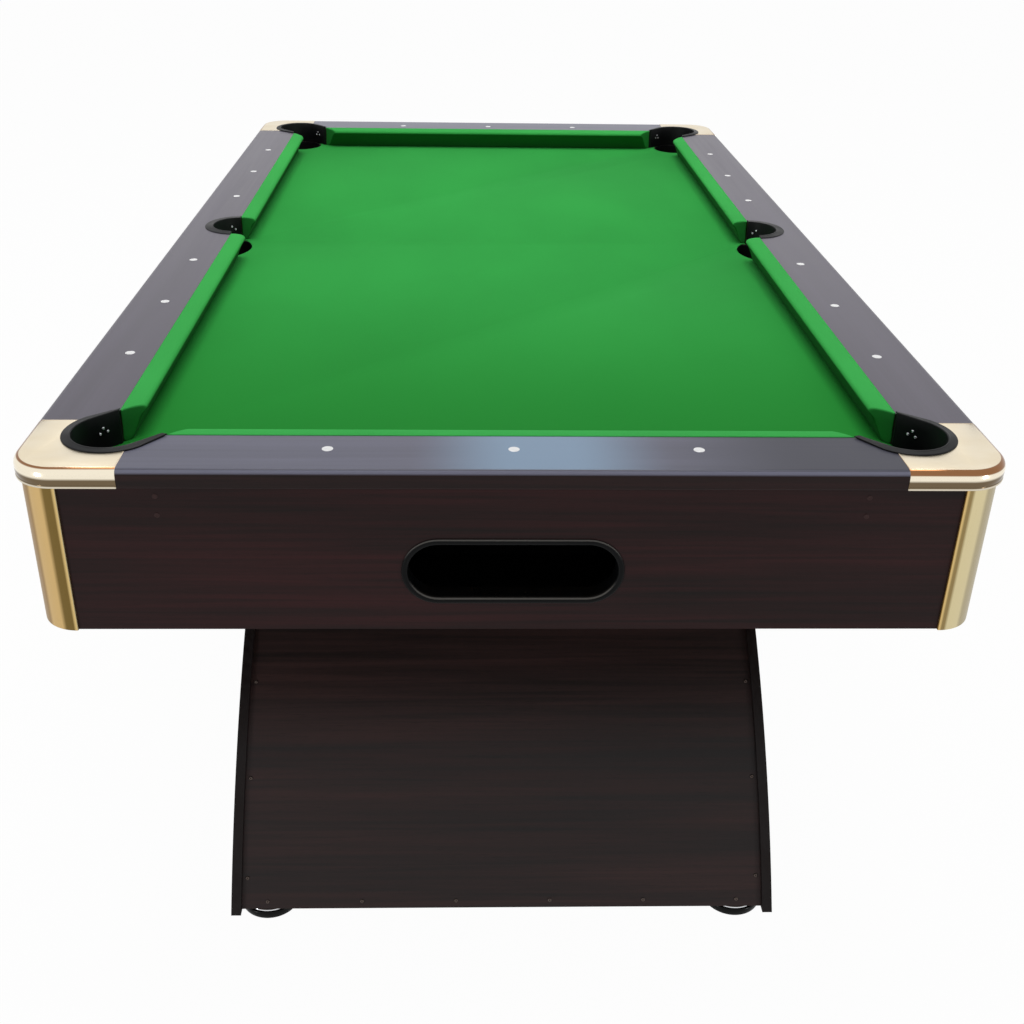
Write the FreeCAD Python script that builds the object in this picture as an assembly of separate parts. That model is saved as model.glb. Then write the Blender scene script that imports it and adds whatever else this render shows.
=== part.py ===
import FreeCAD, Part
import math
import os

V = FreeCAD.Vector

# A full-size home billiard table: cloth-covered bed, six pockets, ball return and an arched base.
# All lengths are millimetres. The origin is on the floor under the middle of the table.
# +Y runs to the head end, -Y to the foot end with the ball return, +X to the right, +Z up.

# Overall
table_length = 2140.0
table_width = 1220.0
rail_top = 820.0
cut_over = 5.0
soft_gap = 0.3
fit_gap = 0.3
running_gap = 0.05
eighth_share = math.cos(math.pi / 4)
# Turn in degrees that points a corner pocket at the middle of the table.
inward_turn = 225

# Rails
rail_width = 97.5
rail_board = 25.0
rail_round = 8.0
rail_under_round = 2.0

# Round white sights let into the rails
sight_radius = 6.25
sight_depth = 3.0
sight_proud = 0.3
sight_inset = 60.0
sight_sides = 12
sight_spacing = 230.0
side_sight_steps = (1, 2, 3)
end_sight_steps = (-1, 0, 1)

# Bed and cloth
bed_drop = 45.0
bed_thickness = 18.0
cloth_thickness = 1.0
cloth_lap = 28.0

# Cushions, drawn from the cloth line towards the playing area
cushion_reach = 27.5
nose_height = 36.0
nose_radius = 3.0
cushion_crown = 1.2
cushion_hollow = 1.5
cushion_foot_width = 9.0
middle_gap_half = 58.5
middle_facing_flare = 3.0

# Pocket liners
pocket_wall = 3.0
flange_thickness = 2.5
corner_pocket_inset = 105.0
corner_hole_radius = 50.0
corner_flange_width = 12.0
middle_pocket_inset = 104.0
middle_hole_radius = 50.0
middle_flange_width = 16.0
middle_hole_front = 20.0
liner_drop = 39.0
bed_hole_gap = 0.5

# Metal caps over the rail corners
cap_proud = 1.0
cap_thickness = 2.5
cap_corner_radius = 58.0
cap_round = 9.0
cap_bevel = 4.5
cap_along_side = 141.0
cap_along_end = 134.0

# Apron boards of the cabinet
apron_setback = 8.0
apron_thickness = 15.0
apron_height = 206.0
rail_back_gap = 1.0

# Quarter-round metal trims at the cabinet corners, and the blocks behind them
trim_radius = 51.0
trim_thickness = 2.0
trim_proud = 1.0
trim_lap = 3.0
block_foot_lap = 18.0
block_side_lap = 18.0
block_depth = 27.0
block_side_depth = 21.0

# Beams under the bed, with an alley for the balls between the end beams and the aprons
beam_thickness = 18.0
ball_alley = 148.0
crown_beam_y = 90.0
bed_beam_gap = 409.0

# Ball gutters of thin boards under the side pockets
gutter_offset = 6.0
gutter_top_half = 52.0
gutter_floor_half = 26.0
gutter_height = 38.0
gutter_wall = 3.0
gutter_beam_gap = 39.0
gutter_head_gap = 39.0
gutter_foot_gap = 99.0
gutter_foot_rise = 67.0
gutter_fall_share = 0.02
window_side_gap = 7.0
window_head_room = 5.0
saddle_gap = 454.0

# Ball return: oval bezel in the foot apron, box behind it, ramps from the gutters
bezel_length = 280.0
bezel_height = 93.0
bezel_rim = 8.0
bezel_proud = 3.0
bezel_sleeve_wall = 2.0
bezel_sleeve_depth = 25.0
bezel_rise = 86.5
bezel_hole_gap = 0.5
box_side_room = 30.0
box_wall = 12.0
box_rise = 10.0
box_wall_top = 96.0
box_lip_gap = 1.5
ramp_wall = 3.0
ramp_start_rise = 6.0
ramp_fall_share = 0.03
ramp_side_height = 26.0
ramp_end_reach = 51.0
ramp_lap = 4.0
ramp_front_gap = 39.0

# Arched base: two mirrored halves between the floor and the cabinet
leg_side_setback = 193.0
leg_end_setback = 66.0
leg_board = 15.0
leg_clearance = 22.0
leg_panel_rise = 4.0
outer_arch_overrun = 3.0
inner_arch_drop = 137.0
leg_foot_depth = 210.0
panel_inset = 6.0
panel_thickness = 4.0
inner_board = 14.0
top_plate_reach = 150.0
leg_plate = 18.0

# Bolts of the rails and of the base
bolt_radius = 4.0
bolt_head_radius = 7.5
bolt_head_height = 5.3
bolt_clear_radius = 4.5
bolt_sides = 6
rail_bolt_bite = 30.0
leg_bolt_bite = 45.0
bolt_hole_spare = 2.0
rail_bolt_inset = 60.0
side_bolt_gaps = (370.0, 770.0)
end_bolt_gap = 310.0
leg_bolt_inset = 75.0
leg_bolt_count = 4

# Screw levellers: a swivelling pad, a threaded stud and an insert in the bottom plate
leveller_side_gap = 37.0
stud_panel_gap = 19.4
pad_radius = 46.0
pad_height = 20.0
pad_foot_bevel = 3.0
pad_top_bevel = 6.0
pad_sides = 36
pad_floor = 10.0
stud_radius = 5.0
stud_top = 60.0
nut_radius = 9.8
nut_height = 6.4
nut_sides = 6
bore_sides = 12

# Places worked out from the sizes above
half_length = table_length / 2
half_width = table_width / 2
cloth_x = half_width - rail_width
cloth_y = half_length - rail_width
nose_x = cloth_x - cushion_reach
rail_bottom = rail_top - rail_board
cloth_top = rail_top - bed_drop
bed_top = cloth_top - cloth_thickness
bed_bottom = bed_top - bed_thickness
apron_face_x = half_width - apron_setback
apron_face_y = half_length - apron_setback
apron_back_x = apron_face_x - apron_thickness
apron_back_y = apron_face_y - apron_thickness
cabinet_bottom = rail_bottom - apron_height
cap_top = rail_top + cap_proud
corner_x = half_width - corner_pocket_inset
corner_y = half_length - corner_pocket_inset
middle_x = half_width - middle_pocket_inset
liner_bottom = cloth_top - liner_drop
trim_centre_x = apron_face_x + trim_proud - trim_radius
trim_centre_y = apron_face_y + trim_proud - trim_radius
end_beam_face = apron_back_y - ball_alley
bed_beam_y = end_beam_face - bed_beam_gap
saddle_y = end_beam_face - saddle_gap
gutter_centre = corner_x + gutter_offset
gutter_head_end = apron_back_y - gutter_head_gap
gutter_foot_end = apron_back_y - gutter_foot_gap
gutter_foot_z = cabinet_bottom + gutter_foot_rise
long_beam_outer = gutter_centre - gutter_top_half - gutter_beam_gap
box_half_length = bezel_length / 2 + box_side_room
box_floor = cabinet_bottom + box_rise + box_wall
ramp_outer_end = gutter_centre + ramp_end_reach
ramp_near_y = gutter_foot_end - ramp_lap
ramp_far_y = apron_back_y - ramp_front_gap
leg_half_width = half_width - leg_side_setback
leg_inner_x = leg_half_width - leg_board
leg_foot_y = half_length - leg_end_setback
leg_heel_y = leg_foot_y - leg_foot_depth
panel_bottom = leg_clearance + leg_panel_rise
outer_arch_apex = cabinet_bottom + outer_arch_overrun
inner_arch_apex = cabinet_bottom - inner_arch_drop
leveller_x = leg_inner_x - leveller_side_gap
side_bolt_y = [half_length - gap for gap in side_bolt_gaps]
end_bolt_x = (end_bolt_gap - half_width, 0, half_width - end_bolt_gap)
leg_bolt_reach = leg_inner_x - leg_bolt_inset
leg_bolt_pitch = 2 * leg_bolt_reach / (leg_bolt_count - 1)
leg_bolt_x = [k * leg_bolt_pitch - leg_bolt_reach for k in range(leg_bolt_count)]


def arch_circle(apex, foot_y):
    """Radius and centre height of an arch that rises from leg_clearance at foot_y to its apex."""
    rise = apex - leg_clearance
    radius = (foot_y * foot_y / rise + rise) / 2
    return radius, apex - radius


outer_arch_radius, outer_arch_z = arch_circle(outer_arch_apex, leg_foot_y)
inner_arch_radius, inner_arch_z = arch_circle(inner_arch_apex, leg_heel_y)
panel_outer_radius = outer_arch_radius - panel_inset
panel_back_radius = panel_outer_radius - panel_thickness
inner_back_radius = inner_arch_radius + panel_inset + panel_thickness
panel_back_y = math.sqrt(panel_back_radius ** 2 - (stud_top - outer_arch_z) ** 2)
leveller_y = panel_back_y - stud_radius - stud_panel_gap


# Small tools for solids

def box(x0, x1, y0, y1, z0, z1):
    return Part.makeBox(x1 - x0, y1 - y0, z1 - z0, V(x0, y0, z0))


def cylinder(x, y, z0, z1, radius):
    return Part.makeCylinder(radius, z1 - z0, V(x, y, z0))


def wire_of(points):
    return Part.makePolygon(points + [points[0]])


def ring_wire(x, y, z, radius, sides):
    turns = [math.tau * k / sides for k in range(sides)]
    return wire_of([V(x + radius * math.cos(a), y + radius * math.sin(a), z) for a in turns])


def column(x, y, z0, z1, radius, sides):
    """Upright prism with a few flat sides, which keeps small repeated pieces light."""
    return Part.Face(ring_wire(x, y, z0, radius, sides)).extrude(V(0, 0, z1 - z0))


def prism(points, direction):
    return Part.Face(wire_of(points)).extrude(direction)


def arc(a, middle, b):
    return Part.Arc(a, middle, b).toShape()


def line(a, b):
    return Part.LineSegment(a, b).toShape()


def flip_x(shape):
    return shape.mirror(V(0, 0, 0), V(1, 0, 0))


def flip_y(shape):
    return shape.mirror(V(0, 0, 0), V(0, 1, 0))


def put(shape, side, end):
    """Mirror a piece made for the right-hand head corner to the side and end asked for."""
    if side < 0:
        shape = flip_x(shape)
    if end < 0:
        shape = flip_y(shape)
    return shape


def quadrants():
    for side, side_name in ((-1, "left"), (1, "right")):
        for end, end_name in ((-1, "foot"), (1, "head")):
            yield side, side_name, end, end_name


def stadium(length, height, x, z):
    """Face in the XZ plane of a slot with round ends, centred on x and z."""
    radius = height / 2
    straight = length / 2 - radius
    left, right = x - straight, x + straight
    edges = [line(V(left, 0, z + radius), V(right, 0, z + radius)),
             arc(V(right, 0, z + radius), V(right + radius, 0, z), V(right, 0, z - radius)),
             line(V(right, 0, z - radius), V(left, 0, z - radius)),
             arc(V(left, 0, z - radius), V(left - radius, 0, z), V(left, 0, z + radius))]
    return Part.Face(Part.Wire(edges))


# Plan shapes of the pockets

def corner_prism(radius, inward, z0, z1, outward=0):
    """Round hole of a corner pocket with parallel jaws along the diagonal."""
    shape = cylinder(0, 0, z0, z1, radius)
    if inward > 0:
        shape = shape.fuse(box(0, inward, -radius, radius, z0, z1))
    if outward > 0:
        shape = shape.fuse(box(-outward, 0, -radius, radius, z0, z1))
    shape.rotate(V(0, 0, 0), V(0, 0, 1), inward_turn)
    shape.translate(V(corner_x, corner_y, 0))
    return shape


def middle_prism(grow, z0, z1):
    """Hole of a middle pocket through the bed: half round outside, shallow arc inside."""
    radius = middle_hole_radius + grow
    front = middle_x - middle_hole_front - grow
    edges = [arc(V(middle_x, -radius, z0), V(middle_x + radius, 0, z0), V(middle_x, radius, z0)),
             arc(V(middle_x, radius, z0), V(front, 0, z0), V(middle_x, -radius, z0))]
    return Part.Face(Part.Wire(edges)).extrude(V(0, 0, z1 - z0))


def playing_corner(z0, z1):
    """The quarter of the plan inside both cloth lines, where no liner arm may reach."""
    return box(0, cloth_x + fit_gap, 0, cloth_y + fit_gap, z0, z1)


# Metal corner caps

def corner_body(inset, z0):
    """Upright corner of the table's outline, shrunk by inset on its outer faces and top."""
    body = box(0, half_width + cap_proud - inset, 0, half_length + cap_proud - inset, z0, cap_top - inset)
    reach = body.BoundBox
    upright = [e for e in body.Edges if e.BoundBox.XMin == e.BoundBox.XMax == reach.XMax
               and e.BoundBox.YMin == e.BoundBox.YMax == reach.YMax]
    return body.makeFillet(cap_corner_radius - inset, upright)


def top_rim(body):
    """Edges round the top of a corner body, without the two that face the table's middle."""
    top = body.BoundBox.ZMax - cap_proud
    return [e for e in body.Edges if e.BoundBox.ZMin > top
            and e.BoundBox.XMax > cap_proud and e.BoundBox.YMax > cap_proud]


def cap_skin(z0):
    body = corner_body(0, z0)
    return body.makeFillet(cap_round, top_rim(body))


def cap_core(z0):
    body = corner_body(cap_thickness, z0)
    return body.makeChamfer(cap_bevel, top_rim(body))


def cap_footprint(z0, z1):
    reach_x = half_width + cap_corner_radius
    reach_y = half_length + cap_corner_radius
    along_end = box(half_width - cap_along_end, reach_x, cloth_y, reach_y, z0, z1)
    along_side = box(cloth_x, reach_x, half_length - cap_along_side, reach_y, z0, z1)
    return along_end.fuse(along_side).removeSplitter()


def corner_cap():
    z0 = rail_bottom
    shell = cap_skin(z0).cut(cap_core(z0 - cut_over))
    cap = shell.common(cap_footprint(z0, cap_top))
    hole = corner_prism(corner_hole_radius + pocket_wall + fit_gap, rail_width, z0 - cut_over,
                        cap_top + cut_over)
    return cap.cut(hole)


def cap_recess():
    """What a rail gives up so that the cap sits almost flush with it."""
    z0 = rail_bottom - cut_over
    block = cap_footprint(z0, cap_top + cut_over)
    return block.cut(cap_core(z0 - cut_over))


# Rails

def rail_section(outer, inner, back, make_point):
    """Section of a rail: a board with a rounded nose and a thicker strip over the bed."""
    top_start, top_end = outer - rail_round, rail_top - rail_round
    low_start, low_end = rail_bottom + rail_under_round, outer - rail_under_round
    mid = rail_round * (1 - eighth_share)
    low_mid = rail_under_round * (1 - eighth_share)
    p = make_point
    edges = [line(p(inner, cloth_top), p(inner, rail_top)),
             line(p(inner, rail_top), p(top_start, rail_top)),
             arc(p(top_start, rail_top), p(outer - mid, rail_top - mid), p(outer, top_end)),
             line(p(outer, top_end), p(outer, low_start)),
             arc(p(outer, low_start), p(outer - low_mid, rail_bottom + low_mid), p(low_end, rail_bottom)),
             line(p(low_end, rail_bottom), p(back, rail_bottom)),
             line(p(back, rail_bottom), p(back, cloth_top)),
             line(p(back, cloth_top), p(inner, cloth_top))]
    return Part.Face(Part.Wire(edges))


def corner_cuts(rail):
    """Pocket hole and cap recess at both corners that a rail reaches."""
    z0, z1 = cloth_top - cut_over, cap_top + cut_over
    hole = corner_prism(corner_hole_radius + pocket_wall + fit_gap, rail_width * 2, z0, z1)
    return rail.cut(hole.fuse(cap_recess()))


def bolt_hole(x, y):
    top = bed_top + rail_bolt_bite + bolt_hole_spare
    return column(x, y, cloth_top - cut_over, top, bolt_radius + running_gap, bolt_sides)


def right_rail():
    section = rail_section(half_width, cloth_x, apron_back_x - rail_back_gap,
                           lambda a, z: V(a, -half_length, z))
    rail = section.extrude(V(0, table_length, 0))
    plan = [V(cloth_x, -cloth_y, cloth_top), V(half_width, -half_length, cloth_top),
            V(half_width, half_length, cloth_top), V(cloth_x, cloth_y, cloth_top)]
    rail = rail.common(prism(plan, V(0, 0, bed_drop)))
    rail = corner_cuts(rail)
    rail = flip_y(corner_cuts(flip_y(rail)))
    pocket = cylinder(middle_x, 0, cloth_top - cut_over, rail_top + cut_over,
                      middle_hole_radius + pocket_wall + fit_gap)
    cuts = [pocket]
    for end in (-1, 1):
        cuts += [sight_hole(half_width - sight_inset, end * step * sight_spacing)
                 for step in side_sight_steps]
        cuts += [bolt_hole(half_width - rail_bolt_inset, end * y) for y in side_bolt_y]
    return rail.cut(Part.makeCompound(cuts))


def head_rail():
    section = rail_section(half_length, cloth_y, apron_back_y - rail_back_gap,
                           lambda a, z: V(-half_width, a, z))
    rail = section.extrude(V(table_width, 0, 0))
    plan = [V(-cloth_x, cloth_y, cloth_top), V(-half_width, half_length, cloth_top),
            V(half_width, half_length, cloth_top), V(cloth_x, cloth_y, cloth_top)]
    rail = rail.common(prism(plan, V(0, 0, bed_drop)))
    rail = corner_cuts(rail)
    rail = flip_x(corner_cuts(flip_x(rail)))
    cuts = [sight_hole(step * sight_spacing, half_length - sight_inset) for step in end_sight_steps]
    cuts += [bolt_hole(x, half_length - rail_bolt_inset) for x in end_bolt_x]
    return rail.cut(Part.makeCompound(cuts))


# Sights

def sight_hole(x, y):
    return column(x, y, rail_top + sight_proud - sight_depth, rail_top + cut_over,
                  sight_radius + running_gap, sight_sides)


def sight(x, y):
    return column(x, y, rail_top + sight_proud - sight_depth, rail_top + sight_proud, sight_radius,
                  sight_sides)


def rail_sights():
    discs = []
    for sign in (-1, 1):
        discs += [sight(step * sight_spacing, sign * (half_length - sight_inset))
                  for step in end_sight_steps]
        for end in (-1, 1):
            discs += [sight(sign * (half_width - sight_inset), end * step * sight_spacing)
                      for step in side_sight_steps]
    return Part.makeCompound(discs)


# Cushions

def cushion_section(make_point):
    """Triangular cushion: a crowned top, a round nose and a hollow underside."""
    def p(reach, z):
        return make_point(reach, z)
    back = soft_gap
    base = cloth_top + soft_gap
    nose_z = cloth_top + nose_height
    nose_in = cushion_reach - nose_radius
    shelf_z = nose_z + nose_radius
    half = (back + nose_in) / 2
    under_mid_reach = (nose_in + cushion_foot_width) / 2 - cushion_hollow
    under_mid_z = (nose_z - nose_radius + base) / 2
    crest = rail_top - (rail_top - shelf_z) / 2 + cushion_crown
    edges = [line(p(back, base), p(back, rail_top)),
             arc(p(back, rail_top), p(half, crest), p(nose_in, shelf_z)),
             arc(p(nose_in, shelf_z), p(cushion_reach, nose_z), p(nose_in, nose_z - nose_radius)),
             arc(p(nose_in, nose_z - nose_radius), p(under_mid_reach, under_mid_z),
                 p(cushion_foot_width, base)),
             line(p(cushion_foot_width, base), p(back, base))]
    return Part.Face(Part.Wire(edges))


def jaw_clearer():
    """Everything past the line of the corner pocket's jaws, down to the bed."""
    z0, z1 = bed_top, rail_top + cut_over
    offset = (corner_hole_radius + pocket_wall) * math.sqrt(2)
    far = table_length
    jaw_y = corner_y + (cloth_x - corner_x) - offset
    side_jaw = [V(cloth_x + rail_width, jaw_y + rail_width, z0), V(0, jaw_y - cloth_x, z0),
                V(0, far, z0), V(cloth_x + rail_width, far, z0)]
    return prism(side_jaw, V(0, 0, z1 - z0))


def end_jaw_clearer():
    z0, z1 = bed_top, rail_top + cut_over
    offset = (corner_hole_radius + pocket_wall) * math.sqrt(2)
    jaw_x = corner_x + (cloth_y - corner_y) - offset
    far = table_length
    shape = [V(jaw_x + rail_width, cloth_y + rail_width, z0), V(jaw_x - cloth_y, 0, z0),
             V(far, 0, z0), V(far, cloth_y + rail_width, z0)]
    return prism(shape, V(0, 0, z1 - z0))


def right_head_cushion():
    section = cushion_section(lambda reach, z: V(cloth_x - reach, 0, z))
    strip = section.extrude(V(0, corner_y, 0))
    z0, z1 = bed_top, rail_top + cut_over
    flare = middle_facing_flare
    mouth = [V(cloth_x + cut_over, -cut_over, z0), V(cloth_x + cut_over, middle_gap_half, z0),
             V(cloth_x, middle_gap_half, z0), V(nose_x, middle_gap_half + flare, z0),
             V(nose_x - cut_over, middle_gap_half + flare, z0), V(nose_x - cut_over, -cut_over, z0)]
    return strip.cut(prism(mouth, V(0, 0, z1 - z0))).cut(jaw_clearer())


def head_cushion():
    section = cushion_section(lambda reach, z: V(-corner_x, cloth_y - reach, z))
    strip = section.extrude(V(corner_x * 2, 0, 0))
    jaws = end_jaw_clearer()
    return strip.cut(jaws).cut(flip_x(jaws))


# Bed

def bed_holes(z0, z1):
    holes = []
    for side, _, end, _ in quadrants():
        radius = corner_hole_radius + pocket_wall + bed_hole_gap
        holes.append(put(corner_prism(radius, 0, z0, z1, corner_pocket_inset * 2), side, end))
    middle = middle_prism(pocket_wall + bed_hole_gap, z0, z1)
    return holes + [middle, flip_x(middle)]


def bed_board():
    board = box(-apron_back_x, apron_back_x, -apron_back_y, apron_back_y, bed_bottom, bed_top)
    bolts = [column(x, y, bed_bottom - cut_over, bed_top + cut_over, bolt_clear_radius, bolt_sides)
             for x, y in rail_bolt_sites()]
    return board.cut(bed_holes(bed_bottom - cut_over, bed_top + cut_over) + bolts)


def bed_cloth():
    x, y = cloth_x + cloth_lap, cloth_y + cloth_lap
    sheet = box(-x, x, -y, y, bed_top, cloth_top)
    return sheet.cut(bed_holes(bed_top - cut_over, cloth_top + cut_over))


# Pocket liners

def corner_liner():
    outer = corner_hole_radius + pocket_wall
    lip = corner_hole_radius + corner_flange_width
    arm = rail_width * 2
    z_flange = cap_top
    z_top = cap_top + flange_thickness
    tube = corner_prism(outer, 0, liner_bottom, cloth_top)
    wall = corner_prism(outer, arm, cloth_top, z_top).cut(playing_corner(cloth_top, z_top))
    flange = corner_prism(lip, arm, z_flange, z_top).cut(playing_corner(z_flange, z_top))
    liner = tube.fuse([wall, flange])
    bore = corner_prism(corner_hole_radius, arm * 2, cloth_top, z_top + cut_over)
    well = corner_prism(corner_hole_radius, 0, liner_bottom - cut_over, z_top)
    return liner.cut([bore, well]).removeSplitter()


def middle_liner():
    outer = middle_hole_radius + pocket_wall
    lip = middle_hole_radius + middle_flange_width
    z_flange = rail_top
    z_top = rail_top + flange_thickness
    wood = box(cloth_x + fit_gap, half_width, -lip, lip, cloth_top, z_top)
    tube = middle_prism(pocket_wall, liner_bottom, cloth_top)
    wall = cylinder(middle_x, 0, cloth_top, z_top, outer).common(wood)
    flange = cylinder(middle_x, 0, z_flange, z_top, lip).common(wood)
    liner = tube.fuse([wall, flange])
    bore = cylinder(middle_x, 0, cloth_top, z_top + cut_over, middle_hole_radius)
    well = middle_prism(0, liner_bottom - cut_over, cloth_top)
    return liner.cut([bore, well]).removeSplitter()


# Cabinet

def foot_apron():
    board = head_apron()
    board = flip_y(board)
    hole_length = bezel_length - 2 * bezel_rim + 2 * bezel_sleeve_wall + 2 * bezel_hole_gap
    hole_height = bezel_height - 2 * bezel_rim + 2 * bezel_sleeve_wall + 2 * bezel_hole_gap
    hole = stadium(hole_length, hole_height, 0, cabinet_bottom + bezel_rise)
    hole.translate(V(0, -apron_face_y - cut_over, 0))
    return board.cut(hole.extrude(V(0, apron_thickness + 2 * cut_over, 0)))


def head_apron():
    return box(-trim_centre_x, trim_centre_x, apron_back_y, apron_face_y, cabinet_bottom, rail_bottom)


def right_apron():
    return box(apron_back_x, apron_face_x, -trim_centre_y, trim_centre_y, cabinet_bottom, rail_bottom)


def corner_trim():
    """Quarter-round shell with a narrow lap on each apron face."""
    cx, cy, z = trim_centre_x, trim_centre_y, cabinet_bottom
    inner = trim_radius - trim_thickness
    share = eighth_share
    out_x, out_y = cx + trim_radius, cy + trim_radius
    edges = [line(V(out_x, cy - trim_lap, z), V(out_x, cy, z)),
             arc(V(out_x, cy, z), V(cx + trim_radius * share, cy + trim_radius * share, z),
                 V(cx, out_y, z)),
             line(V(cx, out_y, z), V(cx - trim_lap, out_y, z)),
             line(V(cx - trim_lap, out_y, z), V(cx - trim_lap, apron_face_y, z)),
             line(V(cx - trim_lap, apron_face_y, z), V(cx, apron_face_y, z)),
             line(V(cx, apron_face_y, z), V(cx, cy + inner, z)),
             arc(V(cx, cy + inner, z), V(cx + inner * share, cy + inner * share, z), V(cx + inner, cy, z)),
             line(V(cx + inner, cy, z), V(apron_face_x, cy, z)),
             line(V(apron_face_x, cy, z), V(apron_face_x, cy - trim_lap, z)),
             line(V(apron_face_x, cy - trim_lap, z), V(out_x, cy - trim_lap, z))]
    return Part.Face(Part.Wire(edges)).extrude(V(0, 0, apron_height))


def corner_block():
    """Glue block in a cabinet corner, rounded to back the trim and lapped on both aprons."""
    z0, z1 = cabinet_bottom, cloth_top
    cx, cy = trim_centre_x, trim_centre_y
    radius = trim_radius - trim_thickness - fit_gap
    quarter = cylinder(cx, cy, z0, z1, radius).common(box(cx, cx + radius, cy, cy + radius, z0, z1))
    behind_end = box(cx - block_foot_lap, cx, apron_back_y - block_depth, apron_back_y, z0, z1)
    behind_side = box(apron_back_x - block_side_depth, apron_back_x, cy - block_side_lap, cy, z0, z1)
    return quarter.fuse([behind_end, behind_side]).removeSplitter()


def gutter_bottom(y):
    """Height of a gutter's underside, which falls from the head end to the foot end."""
    return gutter_foot_z + gutter_fall_share * (y + gutter_foot_end)


def gutter_window(y0, y1):
    """Opening in an end beam: its sill carries the gutter, its head clears the gutter's edges."""
    half = gutter_top_half + window_side_gap
    sill = min(gutter_bottom(y0), gutter_bottom(y1))
    head = max(gutter_bottom(y0), gutter_bottom(y1)) + gutter_height + window_head_room
    return box(gutter_centre - half, gutter_centre + half, y0 - cut_over, y1 + cut_over, sill, head)


def long_beams():
    beam = box(long_beam_outer - beam_thickness, long_beam_outer, -(end_beam_face - beam_thickness),
               end_beam_face - beam_thickness, cabinet_bottom, bed_bottom)
    return Part.makeCompound([beam, flip_x(beam)])


def end_beams():
    """Beams across the ends of the frame, with a window for each gutter."""
    beams = []
    for end in (-1, 1):
        y0, y1 = sorted((end * (end_beam_face - beam_thickness), end * end_beam_face))
        board = box(-apron_back_x, apron_back_x, y0, y1, cabinet_bottom, bed_bottom)
        window = gutter_window(y0, y1)
        beams.append(board.cut([window, flip_x(window)]))
    return Part.makeCompound(beams)


def cross_beams():
    inner_x = long_beam_outer - beam_thickness
    half = beam_thickness / 2
    beams = []
    for end in (-1, 1):
        for y in (end * crown_beam_y, end * bed_beam_y):
            beams.append(box(-inner_x, inner_x, y - half, y + half, cabinet_bottom, bed_bottom))
    top = cabinet_bottom + leg_bolt_bite - leg_plate + bolt_hole_spare
    holes = [column(x, end * crown_beam_y, cabinet_bottom - cut_over, top, bolt_radius + running_gap,
                    bolt_sides) for x in leg_bolt_x for end in (-1, 1)]
    return Part.makeCompound([beam.cut(holes) for beam in beams])


def gutter_saddles():
    saddles = []
    half = beam_thickness / 2
    width = gutter_top_half + window_side_gap
    for end in (-1, 1):
        y = end * saddle_y
        board = box(long_beam_outer, apron_back_x, y - half, y + half, cabinet_bottom, bed_bottom)
        notch = box(gutter_centre - width, gutter_centre + width, y - half - cut_over,
                    y + half + cut_over, gutter_bottom(y - half), bed_bottom + cut_over)
        saddle = board.cut(notch)
        saddles += [saddle, flip_x(saddle)]
    return Part.makeCompound(saddles)


def gutter_strip(section, y, run):
    """One board of the right gutter: a section of (across, up) points run along the fall."""
    points = [V(gutter_centre + x, y, gutter_bottom(y) + up) for x, up in section]
    return prism(points, V(0, run, gutter_fall_share * run))


def gutter_floor_inner():
    """Half width of a gutter's inside at its floor, where the flared sides are mitred to it."""
    flare = gutter_top_half - gutter_floor_half
    side_level = gutter_wall * math.hypot(flare, gutter_height) / gutter_height
    return gutter_floor_half + flare * gutter_wall / gutter_height - side_level, side_level


def gutter_floors():
    inner, _ = gutter_floor_inner()
    section = [(-gutter_floor_half, 0), (gutter_floor_half, 0), (inner, gutter_wall), (-inner, gutter_wall)]
    floor = gutter_strip(section, -gutter_foot_end, gutter_foot_end + gutter_head_end)
    return Part.makeCompound([floor, flip_x(floor)])


def gutter_sides():
    inner, side_level = gutter_floor_inner()
    boards = []
    for sign in (-1, 1):
        section = [(sign * x, up) for x, up in (
            (gutter_floor_half, 0), (gutter_top_half, gutter_height),
            (gutter_top_half - side_level, gutter_height), (inner, gutter_wall))]
        board = gutter_strip(section, -gutter_foot_end, gutter_foot_end + gutter_head_end)
        boards += [board, flip_x(board)]
    return Part.makeCompound(boards)


def gutter_ends():
    """Boards that close the gutters at the head end."""
    section = [(-gutter_top_half, gutter_height), (-gutter_floor_half, 0), (gutter_floor_half, 0),
               (gutter_top_half, gutter_height)]
    board = gutter_strip(section, gutter_head_end, gutter_wall)
    return Part.makeCompound([board, flip_x(board)])


# Ball return

def return_bezel():
    z = cabinet_bottom + bezel_rise
    inner_length = bezel_length - 2 * bezel_rim
    inner_height = bezel_height - 2 * bezel_rim
    front = -apron_face_y - bezel_proud
    rim = stadium(bezel_length, bezel_height, 0, z)
    rim.translate(V(0, front, 0))
    sleeve = stadium(inner_length + 2 * bezel_sleeve_wall, inner_height + 2 * bezel_sleeve_wall, 0, z)
    sleeve.translate(V(0, front, 0))
    hole = stadium(inner_length, inner_height, 0, z)
    hole.translate(V(0, front - cut_over, 0))
    depth = bezel_sleeve_depth + bezel_proud
    ring = rim.extrude(V(0, bezel_proud, 0))
    body = ring.fuse(sleeve.extrude(V(0, depth, 0)))
    return body.cut(hole.extrude(V(0, depth + 2 * cut_over, 0))).removeSplitter()


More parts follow.
